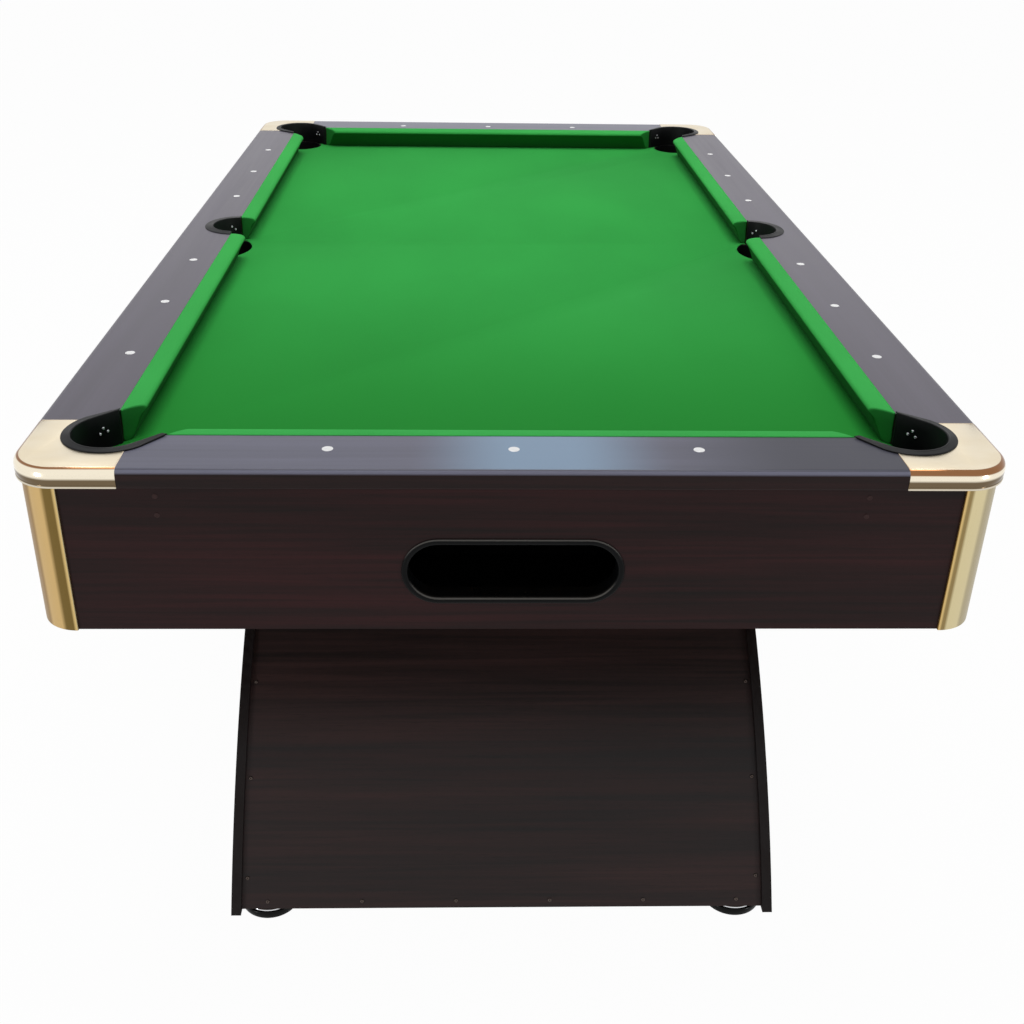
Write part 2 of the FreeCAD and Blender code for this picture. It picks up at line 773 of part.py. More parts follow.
def return_ramp():
    """Shallow trough from the foot end of the right gutter into the side of the box."""
    x0 = box_half_length + box_wall
    run = ramp_outer_end - x0
    rise = ramp_fall_share * run
    z = box_floor + ramp_start_rise
    section = [V(x0, -y, z + up) for y, up in (
        (ramp_near_y - ramp_wall, ramp_side_height), (ramp_near_y - ramp_wall, -ramp_wall),
        (ramp_far_y + ramp_wall, -ramp_wall), (ramp_far_y + ramp_wall, ramp_side_height),
        (ramp_far_y, ramp_side_height), (ramp_far_y, 0), (ramp_near_y, 0),
        (ramp_near_y, ramp_side_height))]
    trough = prism(section, V(run, 0, rise))
    x1 = ramp_outer_end - ramp_wall
    end_plate = box(x1, ramp_outer_end, -ramp_far_y, -ramp_near_y, z + rise - ramp_wall,
                    z + rise + ramp_side_height - ramp_wall)
    return trough.fuse(end_plate)


def return_box():
    z0, z1 = box_floor - box_wall, cabinet_bottom + box_wall_top + box_rise
    front, back = -apron_back_y, -end_beam_face
    outer = box_half_length + box_wall
    sleeve_low = cabinet_bottom + bezel_rise - bezel_height / 2 + bezel_rim - bezel_sleeve_wall
    floor = box(-outer, outer, front, back, z0, box_floor)
    rear_wall = box(-outer, outer, back - box_wall, back, box_floor, z1)
    front_wall = box(-outer, outer, front, front + box_wall, box_floor, sleeve_low - box_lip_gap)
    side_wall = box(box_half_length, outer, front + box_wall, back - box_wall, box_floor, z1)
    mouth = box(box_half_length - cut_over, outer + cut_over, -ramp_far_y, -ramp_near_y,
                box_floor + ramp_start_rise, z1 + cut_over)
    side_wall = side_wall.cut(mouth)
    ramp = return_ramp()
    parts = [rear_wall, front_wall, side_wall, flip_x(side_wall), ramp, flip_x(ramp)]
    return floor.fuse(parts).removeSplitter()


# Arched base, made for the head end and mirrored to the foot end

def circle_prism(radius, centre_z, x0, x1):
    return Part.makeCylinder(radius, x1 - x0, V(x0, 0, centre_z), V(1, 0, 0))


def arch_band(outer_radius, outer_z, inner_radius, inner_z, x0, x1, z0, z1, y0, y1):
    """Part of an arch between two round faces, cut to a box."""
    band = circle_prism(outer_radius, outer_z, x0, x1).common(box(x0, x1, y0, y1, z0, z1))
    return band.cut(circle_prism(inner_radius, inner_z, x0 - cut_over, x1 + cut_over))


def leg_side():
    """Right side board, with a narrower board glued inside it that both panels are screwed to."""
    board = arch_band(outer_arch_radius, outer_arch_z, inner_arch_radius, inner_arch_z, leg_inner_x,
                      leg_half_width, leg_clearance, cabinet_bottom, 0, half_length)
    backing = arch_band(panel_back_radius, outer_arch_z, inner_back_radius, inner_arch_z,
                        leg_inner_x - inner_board, leg_inner_x, panel_bottom + leg_plate,
                        cabinet_bottom - leg_plate, 0, half_length)
    return board.fuse(backing).removeSplitter()


def outer_panel():
    return arch_band(panel_outer_radius, outer_arch_z, panel_back_radius, outer_arch_z, -leg_inner_x,
                     leg_inner_x, panel_bottom, cabinet_bottom, top_plate_reach, half_length)


def inner_panel():
    return arch_band(inner_back_radius, inner_arch_z, inner_arch_radius + panel_inset, inner_arch_z,
                     -leg_inner_x, leg_inner_x, panel_bottom, cabinet_bottom, 0, half_length)


def leg_bottom_plate():
    plate = arch_band(panel_back_radius, outer_arch_z, inner_back_radius, inner_arch_z, -leg_inner_x,
                      leg_inner_x, panel_bottom, panel_bottom + leg_plate, 0, half_length)
    holes = [column(side * leveller_x, leveller_y, panel_bottom - cut_over,
                    panel_bottom + leg_plate + cut_over, nut_radius + running_gap, nut_sides)
             for side in (-1, 1)]
    return plate.cut(holes)


def leg_top_plate():
    plate = box(-leg_inner_x, leg_inner_x, 0, top_plate_reach, cabinet_bottom - leg_plate, cabinet_bottom)
    holes = [column(x, crown_beam_y, cabinet_bottom - leg_plate - cut_over, cabinet_bottom + cut_over,
                    bolt_clear_radius, bolt_sides) for x in leg_bolt_x]
    return plate.cut(holes)


def both_ends(shape):
    return Part.makeCompound([shape, flip_y(shape)])


# Fasteners

def bolt(x, y, seat_z, bite):
    """Hexagon bolt that points up, with its head under seat_z."""
    head = column(x, y, seat_z - bolt_head_height, seat_z, bolt_head_radius, nut_sides)
    shank = column(x, y, seat_z - bolt_head_height / 2, seat_z + bite, bolt_radius, bolt_sides)
    return head.fuse(shank)


def rail_bolt_sites():
    sites = []
    for sign in (-1, 1):
        sites += [(x, sign * (half_length - rail_bolt_inset)) for x in end_bolt_x]
        for end in (-1, 1):
            sites += [(sign * (half_width - rail_bolt_inset), end * y) for y in side_bolt_y]
    return sites


def frame_bolts():
    bolts = [bolt(x, y, bed_bottom, bed_thickness + rail_bolt_bite) for x, y in rail_bolt_sites()]
    for end in (-1, 1):
        bolts += [bolt(x, end * crown_beam_y, cabinet_bottom - leg_plate, leg_bolt_bite)
                  for x in leg_bolt_x]
    return Part.makeCompound(bolts)


# Levellers, made for the right-hand head corner

def stud_hole(z0, z1, radius):
    """Many-sided hole round a stud, whose flats clear that radius by the running gap."""
    reach = (radius + running_gap) / math.cos(math.pi / bore_sides)
    return column(leveller_x, leveller_y, z0, z1, reach, bore_sides)


def leveller_pad():
    """Moulded disc with bevelled rims and a well in which the stud's head turns."""
    disc = column(leveller_x, leveller_y, 0, pad_height, pad_radius, pad_sides)
    disc = disc.makeChamfer(pad_foot_bevel, [e for e in disc.Edges if e.BoundBox.ZMax < pad_foot_bevel])
    disc = disc.makeChamfer(pad_top_bevel, [e for e in disc.Edges
                                            if e.BoundBox.ZMin > pad_height - pad_foot_bevel])
    return disc.cut(stud_hole(pad_floor, pad_height + cut_over, nut_radius))


def leveller_stud():
    seat = pad_floor + running_gap
    head = column(leveller_x, leveller_y, seat, seat + nut_height, nut_radius, nut_sides)
    return head.fuse(cylinder(leveller_x, leveller_y, seat + nut_height / 2, stud_top, stud_radius))


def threaded_insert():
    """Long hexagon nut let into the bottom plate."""
    z0, z1 = panel_bottom, panel_bottom + leg_plate
    nut = column(leveller_x, leveller_y, z0, z1, nut_radius, nut_sides)
    return nut.cut(stud_hole(z0 - cut_over, z1 + cut_over, stud_radius))


# Nodes

def at_corners(shape):
    """The same piece at all four corners, as separate solids."""
    return Part.makeCompound([put(shape, side, end) for side, _, end, _ in quadrants()])


nodes = {}
nodes["right_rail"] = right_rail()
nodes["left_rail"] = flip_x(nodes["right_rail"])
nodes["head_rail"] = head_rail()
nodes["foot_rail"] = flip_y(nodes["head_rail"])
nodes["rail_sights"] = rail_sights()
nodes["corner_caps"] = at_corners(corner_cap())
nodes["corner_pocket_liners"] = at_corners(corner_liner())
middle = middle_liner()
nodes["middle_pocket_liners"] = Part.makeCompound([middle, flip_x(middle)])

nodes["head_cushion"] = head_cushion()
nodes["foot_cushion"] = flip_y(nodes["head_cushion"])
quarter_pieces = {"cushion": right_head_cushion(), "leveller_pad": leveller_pad(),
                  "leveller_stud": leveller_stud()}
for side, side_name, end, end_name in quadrants():
    for name, shape in quarter_pieces.items():
        nodes[side_name + "_" + end_name + "_" + name] = put(shape, side, end)

nodes["bed_board"] = bed_board()
nodes["bed_cloth"] = bed_cloth()

nodes["foot_apron"] = foot_apron()
nodes["head_apron"] = head_apron()
nodes["right_apron"] = right_apron()
nodes["left_apron"] = flip_x(nodes["right_apron"])
nodes["corner_trims"] = at_corners(corner_trim())
nodes["corner_blocks"] = at_corners(corner_block())
nodes["long_beams"] = long_beams()
nodes["end_beams"] = end_beams()
nodes["cross_beams"] = cross_beams()
nodes["gutter_saddles"] = gutter_saddles()
nodes["gutter_floors"] = gutter_floors()
nodes["gutter_sides"] = gutter_sides()
nodes["gutter_ends"] = gutter_ends()
nodes["return_bezel"] = return_bezel()
nodes["return_box"] = return_box()

half_leg = {"right_side": leg_side(), "outer_panel": outer_panel(), "inner_panel": inner_panel()}
half_leg["left_side"] = flip_x(half_leg["right_side"])
for end, end_name in ((-1, "foot"), (1, "head")):
    for name, shape in half_leg.items():
        nodes[end_name + "_leg_" + name] = put(shape, 1, end)
nodes["leg_bottom_plates"] = both_ends(leg_bottom_plate())
nodes["leg_top_plates"] = both_ends(leg_top_plate())
nodes["frame_bolts"] = frame_bolts()
nodes["threaded_inserts"] = at_corners(threaded_insert())

os.makedirs("parts", exist_ok=True)
for name, shape in nodes.items():
    shape.exportStep("parts/" + name + ".step")
print(len(nodes), "nodes written")
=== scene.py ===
import math

import bmesh
import bpy
from mathutils import Matrix, Vector


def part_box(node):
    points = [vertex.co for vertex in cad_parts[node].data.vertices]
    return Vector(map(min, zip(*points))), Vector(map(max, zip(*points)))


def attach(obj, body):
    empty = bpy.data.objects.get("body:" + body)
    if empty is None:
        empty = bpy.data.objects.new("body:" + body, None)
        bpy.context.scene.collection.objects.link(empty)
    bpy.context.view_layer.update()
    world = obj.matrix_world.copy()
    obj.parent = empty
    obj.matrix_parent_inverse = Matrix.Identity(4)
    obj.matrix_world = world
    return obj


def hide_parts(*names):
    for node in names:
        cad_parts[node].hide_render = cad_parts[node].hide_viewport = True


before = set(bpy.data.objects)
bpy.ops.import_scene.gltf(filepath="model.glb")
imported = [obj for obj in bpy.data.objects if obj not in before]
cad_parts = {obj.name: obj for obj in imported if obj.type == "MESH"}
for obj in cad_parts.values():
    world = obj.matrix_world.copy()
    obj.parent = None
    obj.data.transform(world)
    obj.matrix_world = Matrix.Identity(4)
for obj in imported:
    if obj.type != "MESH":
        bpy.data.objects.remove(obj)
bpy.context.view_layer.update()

bl_info = {
    "name": "Billiard table",
    "version": (1, 0, 0),
    "blender": (4, 5, 0),
    "location": "3D View > Sidebar > Billiard table",
    "description": "Dresses the packed frame of a home billiard table in its finishes and fine pieces",
    "category": "Object",
}

MM = 0.001
SIDES = ((-1, "left"), (1, "right"))
ENDS = ((-1, "foot"), (1, "head"))
CORNERS = [(side, end, side_name + "_" + end_name) for side, side_name in SIDES for end, end_name in ENDS]


def linear(code):
    """Linear RGB of an sRGB hex code."""
    parts = [int(code[k:k + 2], 16) / 255 for k in (1, 3, 5)]
    return [c / 12.92 if c <= 0.04045 else ((c + 0.055) / 1.055) ** 2.4 for c in parts]


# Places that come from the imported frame, in metres

CLOTH_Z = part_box("bed_cloth")[1].z
BED_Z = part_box("bed_cloth")[0].z
CLOTH_REACH_X, CLOTH_REACH_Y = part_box("bed_cloth")[1].xy
RAIL_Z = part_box("head_rail")[1].z
HALF_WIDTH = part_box("right_rail")[1].x
HALF_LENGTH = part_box("head_rail")[1].y
LINE_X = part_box("right_rail")[0].x
LINE_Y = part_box("head_rail")[0].y
CAP_LOW, CAP_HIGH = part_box("corner_caps")
TRIM_LOW, TRIM_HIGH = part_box("corner_trims")
APRON_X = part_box("right_apron")[1].x
APRON_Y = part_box("head_apron")[1].y
LINER_LOW, LINER_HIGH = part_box("corner_pocket_liners")
MIDDLE_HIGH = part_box("middle_pocket_liners")[1]
CUSHION_LOW, CUSHION_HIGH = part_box("right_head_cushion")
END_CUSHION_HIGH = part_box("head_cushion")[1]
BEZEL_LOW, BEZEL_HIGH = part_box("return_bezel")
PANEL_LOW, PANEL_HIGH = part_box("head_leg_outer_panel")
PAD_LOW, PAD_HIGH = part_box("right_head_leveller_pad")
STUD_LOW, STUD_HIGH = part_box("right_head_leveller_stud")


def length(name, description, default):
    return bpy.props.FloatProperty(name=name, description=description, default=default * MM, min=0,
                                   precision=5, unit="LENGTH", subtype="DISTANCE")


def colour(name, description, code):
    return bpy.props.FloatVectorProperty(name=name, description=description, default=linear(code),
                                         subtype="COLOR", size=3, min=0, max=1)


class BilliardSizes(bpy.types.PropertyGroup):
    """Sizes of the fine pieces. The frame fixes the large ones."""
    hole_radius: length("Pocket hole", "Radius of the holes through the pocket liners", 50)
    liner_wall: length("Liner wall", "Wall of the moulded pocket liners", 3)
    corner_flange: length("Corner flange", "Width of the flat rim round a corner pocket", 12)
    middle_flange: length("Middle flange", "Width of the flat rim round a middle pocket", 16)
    flange_bead: length("Flange bead", "How far the bead at the mouth stands over the rim", 0.7)
    corner_inset: length("Corner pocket inset", "From the table's edges to a corner pocket's middle", 105)
    middle_inset: length("Middle pocket inset", "From the table's edge to a middle pocket's middle", 104)
    middle_front: length("Middle pocket front", "Depth of the shallow arc cut into the bed", 20)
    cushion_reach: length("Cushion reach", "From the cloth line to the cushion's nose", 27.5)
    cushion_edge: length("Cushion edge", "Rounding where the cloth folds round a cushion's ends", 2.5)
    middle_flare: length("Middle flare", "How much wider the middle mouth is at the noses", 3)
    sight_radius: length("Sight", "Radius of the white sights", 7)
    sight_dome: length("Sight dome", "How far a sight stands over the rail", 0.6)
    sight_inset: length("Sight inset", "From the table's edge to the line of sights", 60)
    sight_step: length("Sight spacing", "From one sight to the next", 230)
    cap_radius: length("Cap corner", "Plan radius of the metal corner caps", 58)
    cap_round: length("Cap round", "Rounding along the caps' top edges", 9)
    cap_upright: length("Cap face", "Height of the caps' upright face, up to the shoulder", 14)
    cap_wall: length("Cap wall", "Thickness of the metal of the caps", 2.2)
    cap_side: length("Cap along side", "Length of a cap along the side rail", 141)
    cap_end: length("Cap along end", "Length of a cap along the end rail", 134)
    cap_bead: length("Cap bead", "Thickness of the raised bead round a cap's edges", 1.6)
    trim_radius: length("Trim radius", "Plan radius of the cabinet's corner trims", 51)
    trim_wall: length("Trim wall", "Thickness of the corner trims", 2)
    trim_lap: length("Trim lap", "Width of a trim's lap on the aprons", 0.6)
    trim_stand: length("Trim stand", "How far a trim's lap stands over the aprons", 3.5)
    bezel_rim: length("Bezel rim", "Width of the rim round the ball return opening", 8)
    cover_out: length("Screw covers", "From the table's middle to the aprons' screw covers", 434)
    pocket_screw: length("Pocket screw", "Radius of the pocket liners' screw heads", 2.1)
    pocket_screw_rise: length("Pocket screw rise", "Height of the pocket liners' screw heads", 1.1)
    screw_radius: length("Panel screw", "Radius of the panel screws' heads", 3.1)
    screw_rise: length("Panel screw rise", "Height of the panel screws' heads", 1.6)
    screw_step: length("Panel screw spacing", "From one screw to the next up a panel's edge", 150)
    pad_collar: length("Foot collar", "Radius of the bright collar on a levelling foot", 41.5)
    stud_radius: length("Stud", "Outer radius of the levelling studs", 5)
    stud_pitch: length("Thread pitch", "Pitch of the levelling studs' thread", 1.5)


class BilliardColours(bpy.types.PropertyGroup):
    """Colours of the finishes."""
    rail_dark: colour("Rail, dark grain", "Dark streaks of the rails' laminate", "#160e0d")
    rail_light: colour("Rail, light grain", "Light streaks of the rails' laminate", "#351d1d")
    # The rail tops' tones are a painted sheen, and the foot rail's middle a painted reflection.
    rail_top_sheen: colour("Side rail tops", "Faded tops of the side rails", "#635f6a")
    end_top_sheen: colour("End rail tops", "Faded tops of the end rails", "#6d6d7d")
    foot_rail_reflection: colour("Foot rail middle", "Palest tone of the foot rail's top", "#8ba2bb")
    cabinet_dark: colour("Cabinet, dark grain", "Dark streaks of the cabinet's laminate", "#150d0c")
    cabinet_light: colour("Cabinet, light grain", "Light streaks of the cabinet's laminate", "#35191a")
    base_dark: colour("Base, dark grain", "Dark streaks of the base's laminate", "#201c1c")
    base_light: colour("Base, light grain", "Light streaks of the base's laminate", "#3b2a29")
    bed_cloth: colour("Bed cloth", "Playing cloth of the bed", "#33a547")
    # Painted shade: the bed cloth darkens towards the foot end, where less light falls.
    bed_foot_shade: colour("Played bed cloth", "Bed cloth at the foot end, where play darkens it", "#289537")
    cushion_cloth: colour("Cushion cloth", "Playing cloth of the cushions", "#3fb153")
    cap: colour("Caps", "Polished pale gold of the corner caps", "#e9dfca")
    # Painted light: the caps' copper shoulders are painted reflection, their darker low faces painted shade.
    cap_shoulder_reflection: colour("Cap shoulders", "Copper tone of the caps' rounded shoulders", "#8f6443")
    cap_face_shade: colour("Cap faces", "Darker gold low on the caps' faces", "#6f5f49")
    trim: colour("Trims", "Brushed gold of the corner trims", "#b89c66")
    pocket: colour("Pockets", "Moulded plastic of the pocket liners", "#0e0f11")
    bezel: colour("Bezel", "Plastic of the ball return's bezel", "#08090a")
    # Painted highlight: the bezel's upper front edges are lightened to a thin bright line.
    edge_highlight: colour("Rubbed edges", "Worn edges of the bezel", "#76736f")
    foot: colour("Feet", "Plastic of the levelling feet", "#070707")
    sight: colour("Sights", "Polished sights", "#ffffff")
    board: colour("Board", "Bare fibreboard", "#a98c66")
    zinc: colour("Zinc", "Bright zinc plate of the bolts", "#c3c6ca")
    chrome: colour("Chrome", "Chrome of the foot rings", "#dcdddf")
    screw: colour("Screws", "Dark screws of the base's panels", "#4d4440")
    floor: colour("Floor", "Pale studio floor", "#f6f6f5")


def sizes():
    return bpy.context.scene.billiard_sizes


def colours():
    return bpy.context.scene.billiard_colours


# Materials

def set_inputs(node, inputs):
    """Sets a node's inputs. One that is given a node or a socket is linked to it."""
    for name, value in inputs.items():
        if isinstance(value, bpy.types.Node):
            value = next(socket for socket in value.outputs if socket.enabled)
        if isinstance(value, bpy.types.NodeSocket):
            node.id_data.links.new(value, node.inputs[name])
        else:
            node.inputs[name].default_value = value


def add_node(tree, kind, inputs=None, **settings):
    """Adds a node with its settings and links."""
    node = tree.nodes.new(kind)
    for name, value in settings.items():
        setattr(node, name, value)
    set_inputs(node, inputs or {})
    return node


def new_material(name, shader):
    """A material with its shader's constants set on the shader's own sockets."""
    material = bpy.data.materials.new(name)
    material.use_nodes = True
    tree = material.node_tree
    surface = tree.nodes["Principled BSDF"]
    set_inputs(surface, shader)
    material.diffuse_color = shader["Base Color"]
    return material, tree, surface


def shade(tone, *factors):
    """RGBA of a linear colour, times one factor or a factor for each channel."""
    return (*(c * k for c, k in zip(tone, (factors or (1,)) * 3)), 1)


def object_place(tree, size):
    """Object coordinates in units of a pattern's real size: millimetres, along each axis if three."""
    size = size if isinstance(size, tuple) else (size, size, size)
    place = add_node(tree, "ShaderNodeTexCoord").outputs["Object"]
    return add_node(tree, "ShaderNodeMapping", {"Vector": place, "Scale": [1 / (s * MM) for s in size]})


def reading(tree, kind, axis):
    """One axis of the surface's Normal, or of its place in Object coordinates."""
    source = "ShaderNodeNewGeometry" if kind == "Normal" else "ShaderNodeTexCoord"
    return add_node(tree, "ShaderNodeSeparateXYZ",
                    {0: add_node(tree, source).outputs[kind]}).outputs[axis]


def lay(tree, tone, over, value, start=0, stop=1, most=1, **settings):
    """Lays a colour over a tone, ever more of it while a value goes from start to stop."""
    share = add_node(tree, "ShaderNodeMapRange", {
        "Value": value, "From Min": start, "From Max": stop, "To Max": most}, **settings)
    return add_node(tree, "ShaderNodeMix", {0: share, 6: tone, 7: over}, data_type="RGBA")


def connect(surface, tone, gloss=None, relief=None):
    """Links a shader's tone, (value, start, stop, low, high) roughness and (height, strength, mm) relief."""
    tree, links = surface.id_data, {"Base Color": tone}
    if gloss:
        names = ("Value", "From Min", "From Max", "To Min", "To Max")
        links["Roughness"] = add_node(tree, "ShaderNodeMapRange", dict(zip(names, gloss)))
    if relief:
        height, strength, depth = relief
        links["Normal"] = add_node(tree, "ShaderNodeBump", {
            "Height": height, "Strength": strength, "Distance": depth * MM})
    set_inputs(surface, links)


def laminate(name, dark, light, along, rough, specular, top=None, middle=None):
    """High-pressure laminate with a printed dark wood grain, pressed to a satin face."""
    # The print gives long soft streaks, the press plate short shallow pores that break up the sheen.
    # The tops of the rails carry a painted sheen, a greyer tone than their faces that stands in for the
    # reflection of the bright room, and the bend between them shows as a dark line with a painted
    # highlight, a lighter band, under it. The painted reflection on the foot rail is palest a little
    # right of its middle and dullest at its right end.
    material, tree, surface = new_material(name, {
        "Base Color": shade(dark), "Roughness": rough, "IOR": 1.5, "Specular IOR Level": specular})
    streak, cloud, pore = (add_node(tree, "ShaderNodeTexNoise", {
        "Vector": object_place(tree, tuple(long if axis == along else wide for axis in "xyz")),
        "Scale": 1, "Detail": detail, "Roughness": fine, "Distortion": bend})
        for long, wide, detail, fine, bend in ((420, 9, 5, 0.62, 0.4), (900, 60, 2, 0.5, 0),
                                               (30, 0.9, 2, 0.5, 0)))
    grain = add_node(tree, "ShaderNodeMath", {0: streak, 1: cloud}, operation="MULTIPLY")
    tone = lay(tree, shade(dark), shade(light), grain, 0.13, 0.38)
    tone = lay(tree, tone, shade(dark, 0.45), pore, 0.36, 0.3, 0.55)
    if top:
        # Painted sheen: the tops' greyer tone stands in for the reflection of the bright room.
        top_sheen = lay(tree, shade(top, 0.88), shade(top, 1.1), grain, 0.13, 0.38)
        # Painted reflection on the foot rail: palest near its middle, dullest at its right end.
        if middle:
            across = reading(tree, "Object", "X")
            side = add_node(tree, "ShaderNodeMath", {0: across, 1: 35 * MM}, operation="SUBTRACT")
            away = add_node(tree, "ShaderNodeMath", {0: side}, operation="ABSOLUTE")
            for over, value, start, stop in ((shade(middle), away, 0.17, 0.03),
                                             (shade(top, 0.42), across, 0.15, 0.36)):
                top_sheen = lay(tree, top_sheen, over, value, start, stop, interpolation_type="SMOOTHSTEP")
        # Painted highlight on the round-over as a lighter band, a darker line, then the painted sheen of the
        # top.
        up = reading(tree, "Normal", "Z")
        for over, start, stop in ((shade(top, 1.45), 0.2, 0.5), (shade(top, 0.7), 0.78, 0.86),
                                  (top_sheen, 0.93, 0.985)):
            tone = lay(tree, tone, over, up, start, stop)
    connect(surface, tone, (streak, 0.3, 0.7, rough * 0.88, rough * 1.15), (pore, 0.12, 0.05))
    return material


def playing_cloth(name, base, sheen, foot_shade=None, nose_shade=None):
    """Worsted playing cloth: wool and nylon twill, napped and shorn."""
    # The nap gives soft lighter and darker drifts, the twill a fine diagonal rib, the fibres a dry sheen
    # that lightens the cloth where it is seen along its nap. A cushion's face under its nose is darkened
    # with painted shade.
    material, tree, surface = new_material(name, {
        "Base Color": shade(base), "Roughness": 0.86, "IOR": 1.46, "Specular IOR Level": 0.12,
        "Sheen Weight": sheen, "Sheen Roughness": 0.3, "Sheen Tint": (0.16, 0.95, 0.26, 1)})
    drift = add_node(tree, "ShaderNodeTexNoise", {
        "Vector": object_place(tree, (240, 420, 240)), "Scale": 1, "Detail": 3})
    fibre = add_node(tree, "ShaderNodeTexNoise", {
        "Vector": object_place(tree, 1.4), "Scale": 1, "Detail": 3, "Roughness": 0.7})
    # Real twill ribs are about 0.7 mm apart. They are drawn 2 mm apart, so that they show at all.
    turned = add_node(tree, "ShaderNodeMapping", {
        "Vector": object_place(tree, 2), "Rotation": (0, 0.6, math.radians(52))})
    twill = add_node(tree, "ShaderNodeTexWave", {
        "Vector": turned, "Scale": 0.32, "Distortion": 1.6, "Detail": 2, "Detail Scale": 1.5})
    tone = lay(tree, shade(base, 0.92), shade(base, 1.07), drift, 0.35, 0.66)
    tone = lay(tree, tone, shade([c * 1.3 + 0.003 for c in base]), fibre, 0.34, 0.7, 0.38)
    # Painted shade: the cloth darkens towards the foot end, where less light falls.
    if foot_shade:
        tone = lay(tree, tone, shade(foot_shade), reading(tree, "Object", "Y"), -100 * MM, -LINE_Y,
                   interpolation_type="SMOOTHSTEP")
    # Painted shade: the cushion's face under its nose is darkened where light hardly reaches.
    if nose_shade:
        tone = lay(tree, tone, shade(nose_shade), reading(tree, "Normal", "Z"), 0.3, -0.25)
    height = add_node(tree, "ShaderNodeMath", {0: twill.outputs["Fac"], 1: 0.4, 2: fibre},
                      operation="MULTIPLY_ADD")
    connect(surface, tone, relief=(height, 0.5, 0.25))
    return material


def fibreboard(name, base):
    """Medium-density fibreboard, sawn and left bare."""
    # Pressed fibres give a dull buff face with fine darker flecks.
    material, tree, surface = new_material(name, {
        "Base Color": shade(base), "Roughness": 0.82, "IOR": 1.5, "Specular IOR Level": 0.25})
    fleck = add_node(tree, "ShaderNodeTexNoise", {
        "Vector": object_place(tree, 2.5), "Scale": 1, "Detail": 4, "Roughness": 0.7})
    tone = lay(tree, shade(base, 0.72), shade(base, 1.12), fleck, 0.35, 0.68)
    connect(surface, tone, relief=(fleck, 0.3, 0.1))
    return material


def moulded_plastic(name, base, rough, grit, specular, edge_highlight=None):
    """Injection-moulded plastic with the fine spark texture of its mould."""
    # Even colour, a soft wide highlight, and a grain that only shows where light grazes it. The upper,
    # front-facing edges can carry a painted highlight, a thin bright line.
    material, tree, surface = new_material(name, {
        "Base Color": shade(base), "Roughness": rough, "IOR": 1.53, "Specular IOR Level": specular})
    grain, wear = (add_node(tree, "ShaderNodeTexNoise", {
        "Vector": object_place(tree, size), "Scale": 1, "Detail": detail})
        for size, detail in ((grit, 2), (38, 3)))
    tone = lay(tree, shade(base, 0.85), shade(base, 1.2), wear)
    # Painted highlight along the upper, front-facing edges.
    if edge_highlight:
        up = add_node(tree, "ShaderNodeMapRange", {
            "Value": reading(tree, "Normal", "Z"), "From Min": 0.3, "From Max": 0.6})
        tone = lay(tree, tone, shade(edge_highlight), reading(tree, "Normal", "Y"), -0.15, -0.35, up)
    connect(surface, tone, (wear, 0.35, 0.7, rough * 0.9, rough * 1.25), (grain, 0.25, 0.04))
    return material


def polished_gold(name, base, shoulder_reflection, face_shade):
    """Die-cast zinc, plated pale gold: linished on the flat top and polished round the edges."""
    # The top shows fine straight lines and a veiled reflection, the rounded edges a clear one. The shoulder
    # is painted with a copper band of reflection, with a brighter painted band under it, and the face is
    # painted darker low down as shade, over a bright lip.
    material, tree, surface = new_material(name, {
        "Base Color": shade(base), "Metallic": 1, "Roughness": 0.16})
    lines = add_node(tree, "ShaderNodeTexNoise", {
        "Vector": object_place(tree, (90, 0.7, 90)), "Scale": 1, "Detail": 3, "Roughness": 0.6})
    cloud = add_node(tree, "ShaderNodeTexNoise", {
        "Vector": object_place(tree, (55, 30, 55)), "Scale": 1, "Detail": 3})
    up = reading(tree, "Normal", "Z")
    flat = add_node(tree, "ShaderNodeMapRange", {"Value": up, "From Min": 0.93, "From Max": 0.995})
    # The painted copper reflection reaches further down on the right-hand caps than on the left-hand ones.
    highlight_start = add_node(tree, "ShaderNodeMapRange", {
        "Value": reading(tree, "Object", "X"), "From Min": -0.01, "From Max": 0.01, "To Min": 0.82,
        "To Max": 0.42})
    highlight_stop = add_node(tree, "ShaderNodeMath", {0: highlight_start, 1: 0.1}, operation="SUBTRACT")
    height, low = reading(tree, "Object", "Z"), CAP_LOW.z
    face = low + sizes().cap_upright
    tone = lay(tree, shade(base), shade(base, 0.86, 0.8, 0.68), cloud, most=flat)
    # Painted reflection as a copper band and a brighter band, painted shade low on the face, over a lighter
    # lip.
    for over, value, start, stop in (
            (shade(shoulder_reflection), up, 0.985, 0.95), (shade(base, 1.1), up, highlight_start, highlight_stop),
            (shade(face_shade), height, face, face - 3 * MM),
            (shade(base, 0.8), height, low + 2.7 * MM, low + 2.3 * MM)):
        tone = lay(tree, tone, over, value, start, stop)
    depth = add_node(tree, "ShaderNodeMath", {0: lines, 1: flat}, operation="MULTIPLY")
    connect(surface, tone, (flat, 0, 1, 0.15, 0.3), (depth, 0.35, 0.05))
    return material


